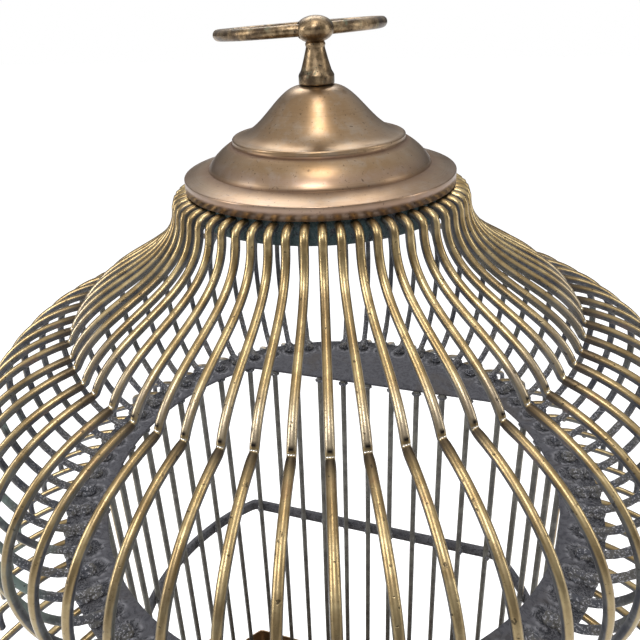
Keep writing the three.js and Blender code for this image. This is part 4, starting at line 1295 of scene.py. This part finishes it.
def softbox(name, place, aim, width, height, power, tint=(1, 1, 1)):
    """A soft rectangular lamp that faces a point."""
    light = bpy.data.lights.new(name, "AREA")
    light.shape = "RECTANGLE"
    light.size, light.size_y, light.energy, light.color = width, height, power, tint
    lamp = bpy.data.objects.new(name, light)
    bpy.context.scene.collection.objects.link(lamp)
    lamp.location = place
    lamp.rotation_euler = (Vector(aim) - Vector(place)).to_track_quat("-Z", "Y").to_euler()


head = (0, 0, 1.18)
softbox("back_box", (-0.7, 1.6, 2.9), head, 1.5, 1.0, 22)
softbox("sky_window", (0.09, -0.22, 2.7), head, 0.30, 0.34, 5, (1.0, 0.93, 0.84))
softbox("front_window", (0.16, -0.95, 2.35), head, 0.42, 0.42, 9, (0.97, 0.96, 1.0))
softbox("left_box", (-2.3, -1.3, 1.9), head, 0.7, 1.7, 36, (0.98, 0.98, 1.0))
softbox("right_box", (2.2, 0.3, 1.7), head, 0.5, 1.5, 12)

world = bpy.data.worlds.new("studio")
bpy.context.scene.world = world
world.use_nodes = True
tree = world.node_tree
sky = tree.nodes["Background"]
spot = tree.nodes.new("ShaderNodeTexCoord")
split = tree.nodes.new("ShaderNodeSeparateXYZ")
ramp = tree.nodes.new("ShaderNodeValToRGB")
lift = tree.nodes.new("ShaderNodeMapRange")
lift.inputs["From Min"].default_value = -1.0
tree.links.new(spot.outputs["Generated"], split.inputs[0])
tree.links.new(split.outputs[2], lift.inputs[0])
tree.links.new(lift.outputs[0], ramp.inputs[0])
ramp.color_ramp.elements[0].color = (0.11, 0.105, 0.10, 1)
ramp.color_ramp.elements[0].position = 0.52
ramp.color_ramp.elements[1].color = (0.95, 0.95, 0.97, 1)
ramp.color_ramp.elements[1].position = 0.88
tree.links.new(ramp.outputs[0], sky.inputs[0])
sky.inputs[1].default_value = 1.0
plain = tree.nodes.new("ShaderNodeBackground")
plain.inputs[0].default_value = (1, 1, 1, 1)
plain.inputs[1].default_value = 1.0
path = tree.nodes.new("ShaderNodeLightPath")
mix = tree.nodes.new("ShaderNodeMixShader")
tree.links.new(path.outputs["Is Camera Ray"], mix.inputs[0])
tree.links.new(sky.outputs[0], mix.inputs[1])
tree.links.new(plain.outputs[0], mix.inputs[2])
tree.links.new(mix.outputs[0], tree.nodes["World Output"].inputs[0])
bpy.context.scene.view_settings.view_transform = "Standard"

# The camera stands in front and a little to the right, above the cap, looking down into the dome.
VIEW_AZIMUTH = math.radians(18)
CAMERA_BACK = 4.498 * CAP_R
CAMERA_UP = 1.079 * CAP_R
CAMERA_PITCH = 0.4849
CAMERA_YAW = 0.0108
CAMERA_ROLL = -0.0431
CAMERA_REACH = 600 / 640  # focal length as a share of the width of the view
camera = bpy.data.objects.new("camera", bpy.data.cameras.new("camera"))
bpy.context.scene.collection.objects.link(camera)
camera.data.sensor_width = 36.0
camera.data.lens = CAMERA_REACH * camera.data.sensor_width
camera.data.clip_start = 0.01
ahead = Vector((0, math.cos(CAMERA_PITCH), -math.sin(CAMERA_PITCH)))
right = Vector((1, 0, 0))
up = right.cross(ahead)
turn = Matrix.Rotation(CAMERA_YAW, 3, "Z")
ahead, right, up = turn @ ahead, turn @ right, turn @ up
right, up = (
    math.cos(CAMERA_ROLL) * right + math.sin(CAMERA_ROLL) * up,
    -math.sin(CAMERA_ROLL) * right + math.cos(CAMERA_ROLL) * up,
)
spin = Matrix.Rotation(VIEW_AZIMUTH, 3, "Z")
axes = Matrix((spin @ right, spin @ up, spin @ -ahead)).transposed()
stand_at = spin @ Vector((0, -CAMERA_BACK, 0)) + Vector((0, 0, CAP_Z + CAMERA_UP))
camera.matrix_world = Matrix.Translation(stand_at * MM) @ axes.to_4x4()
bpy.context.scene.camera = camera
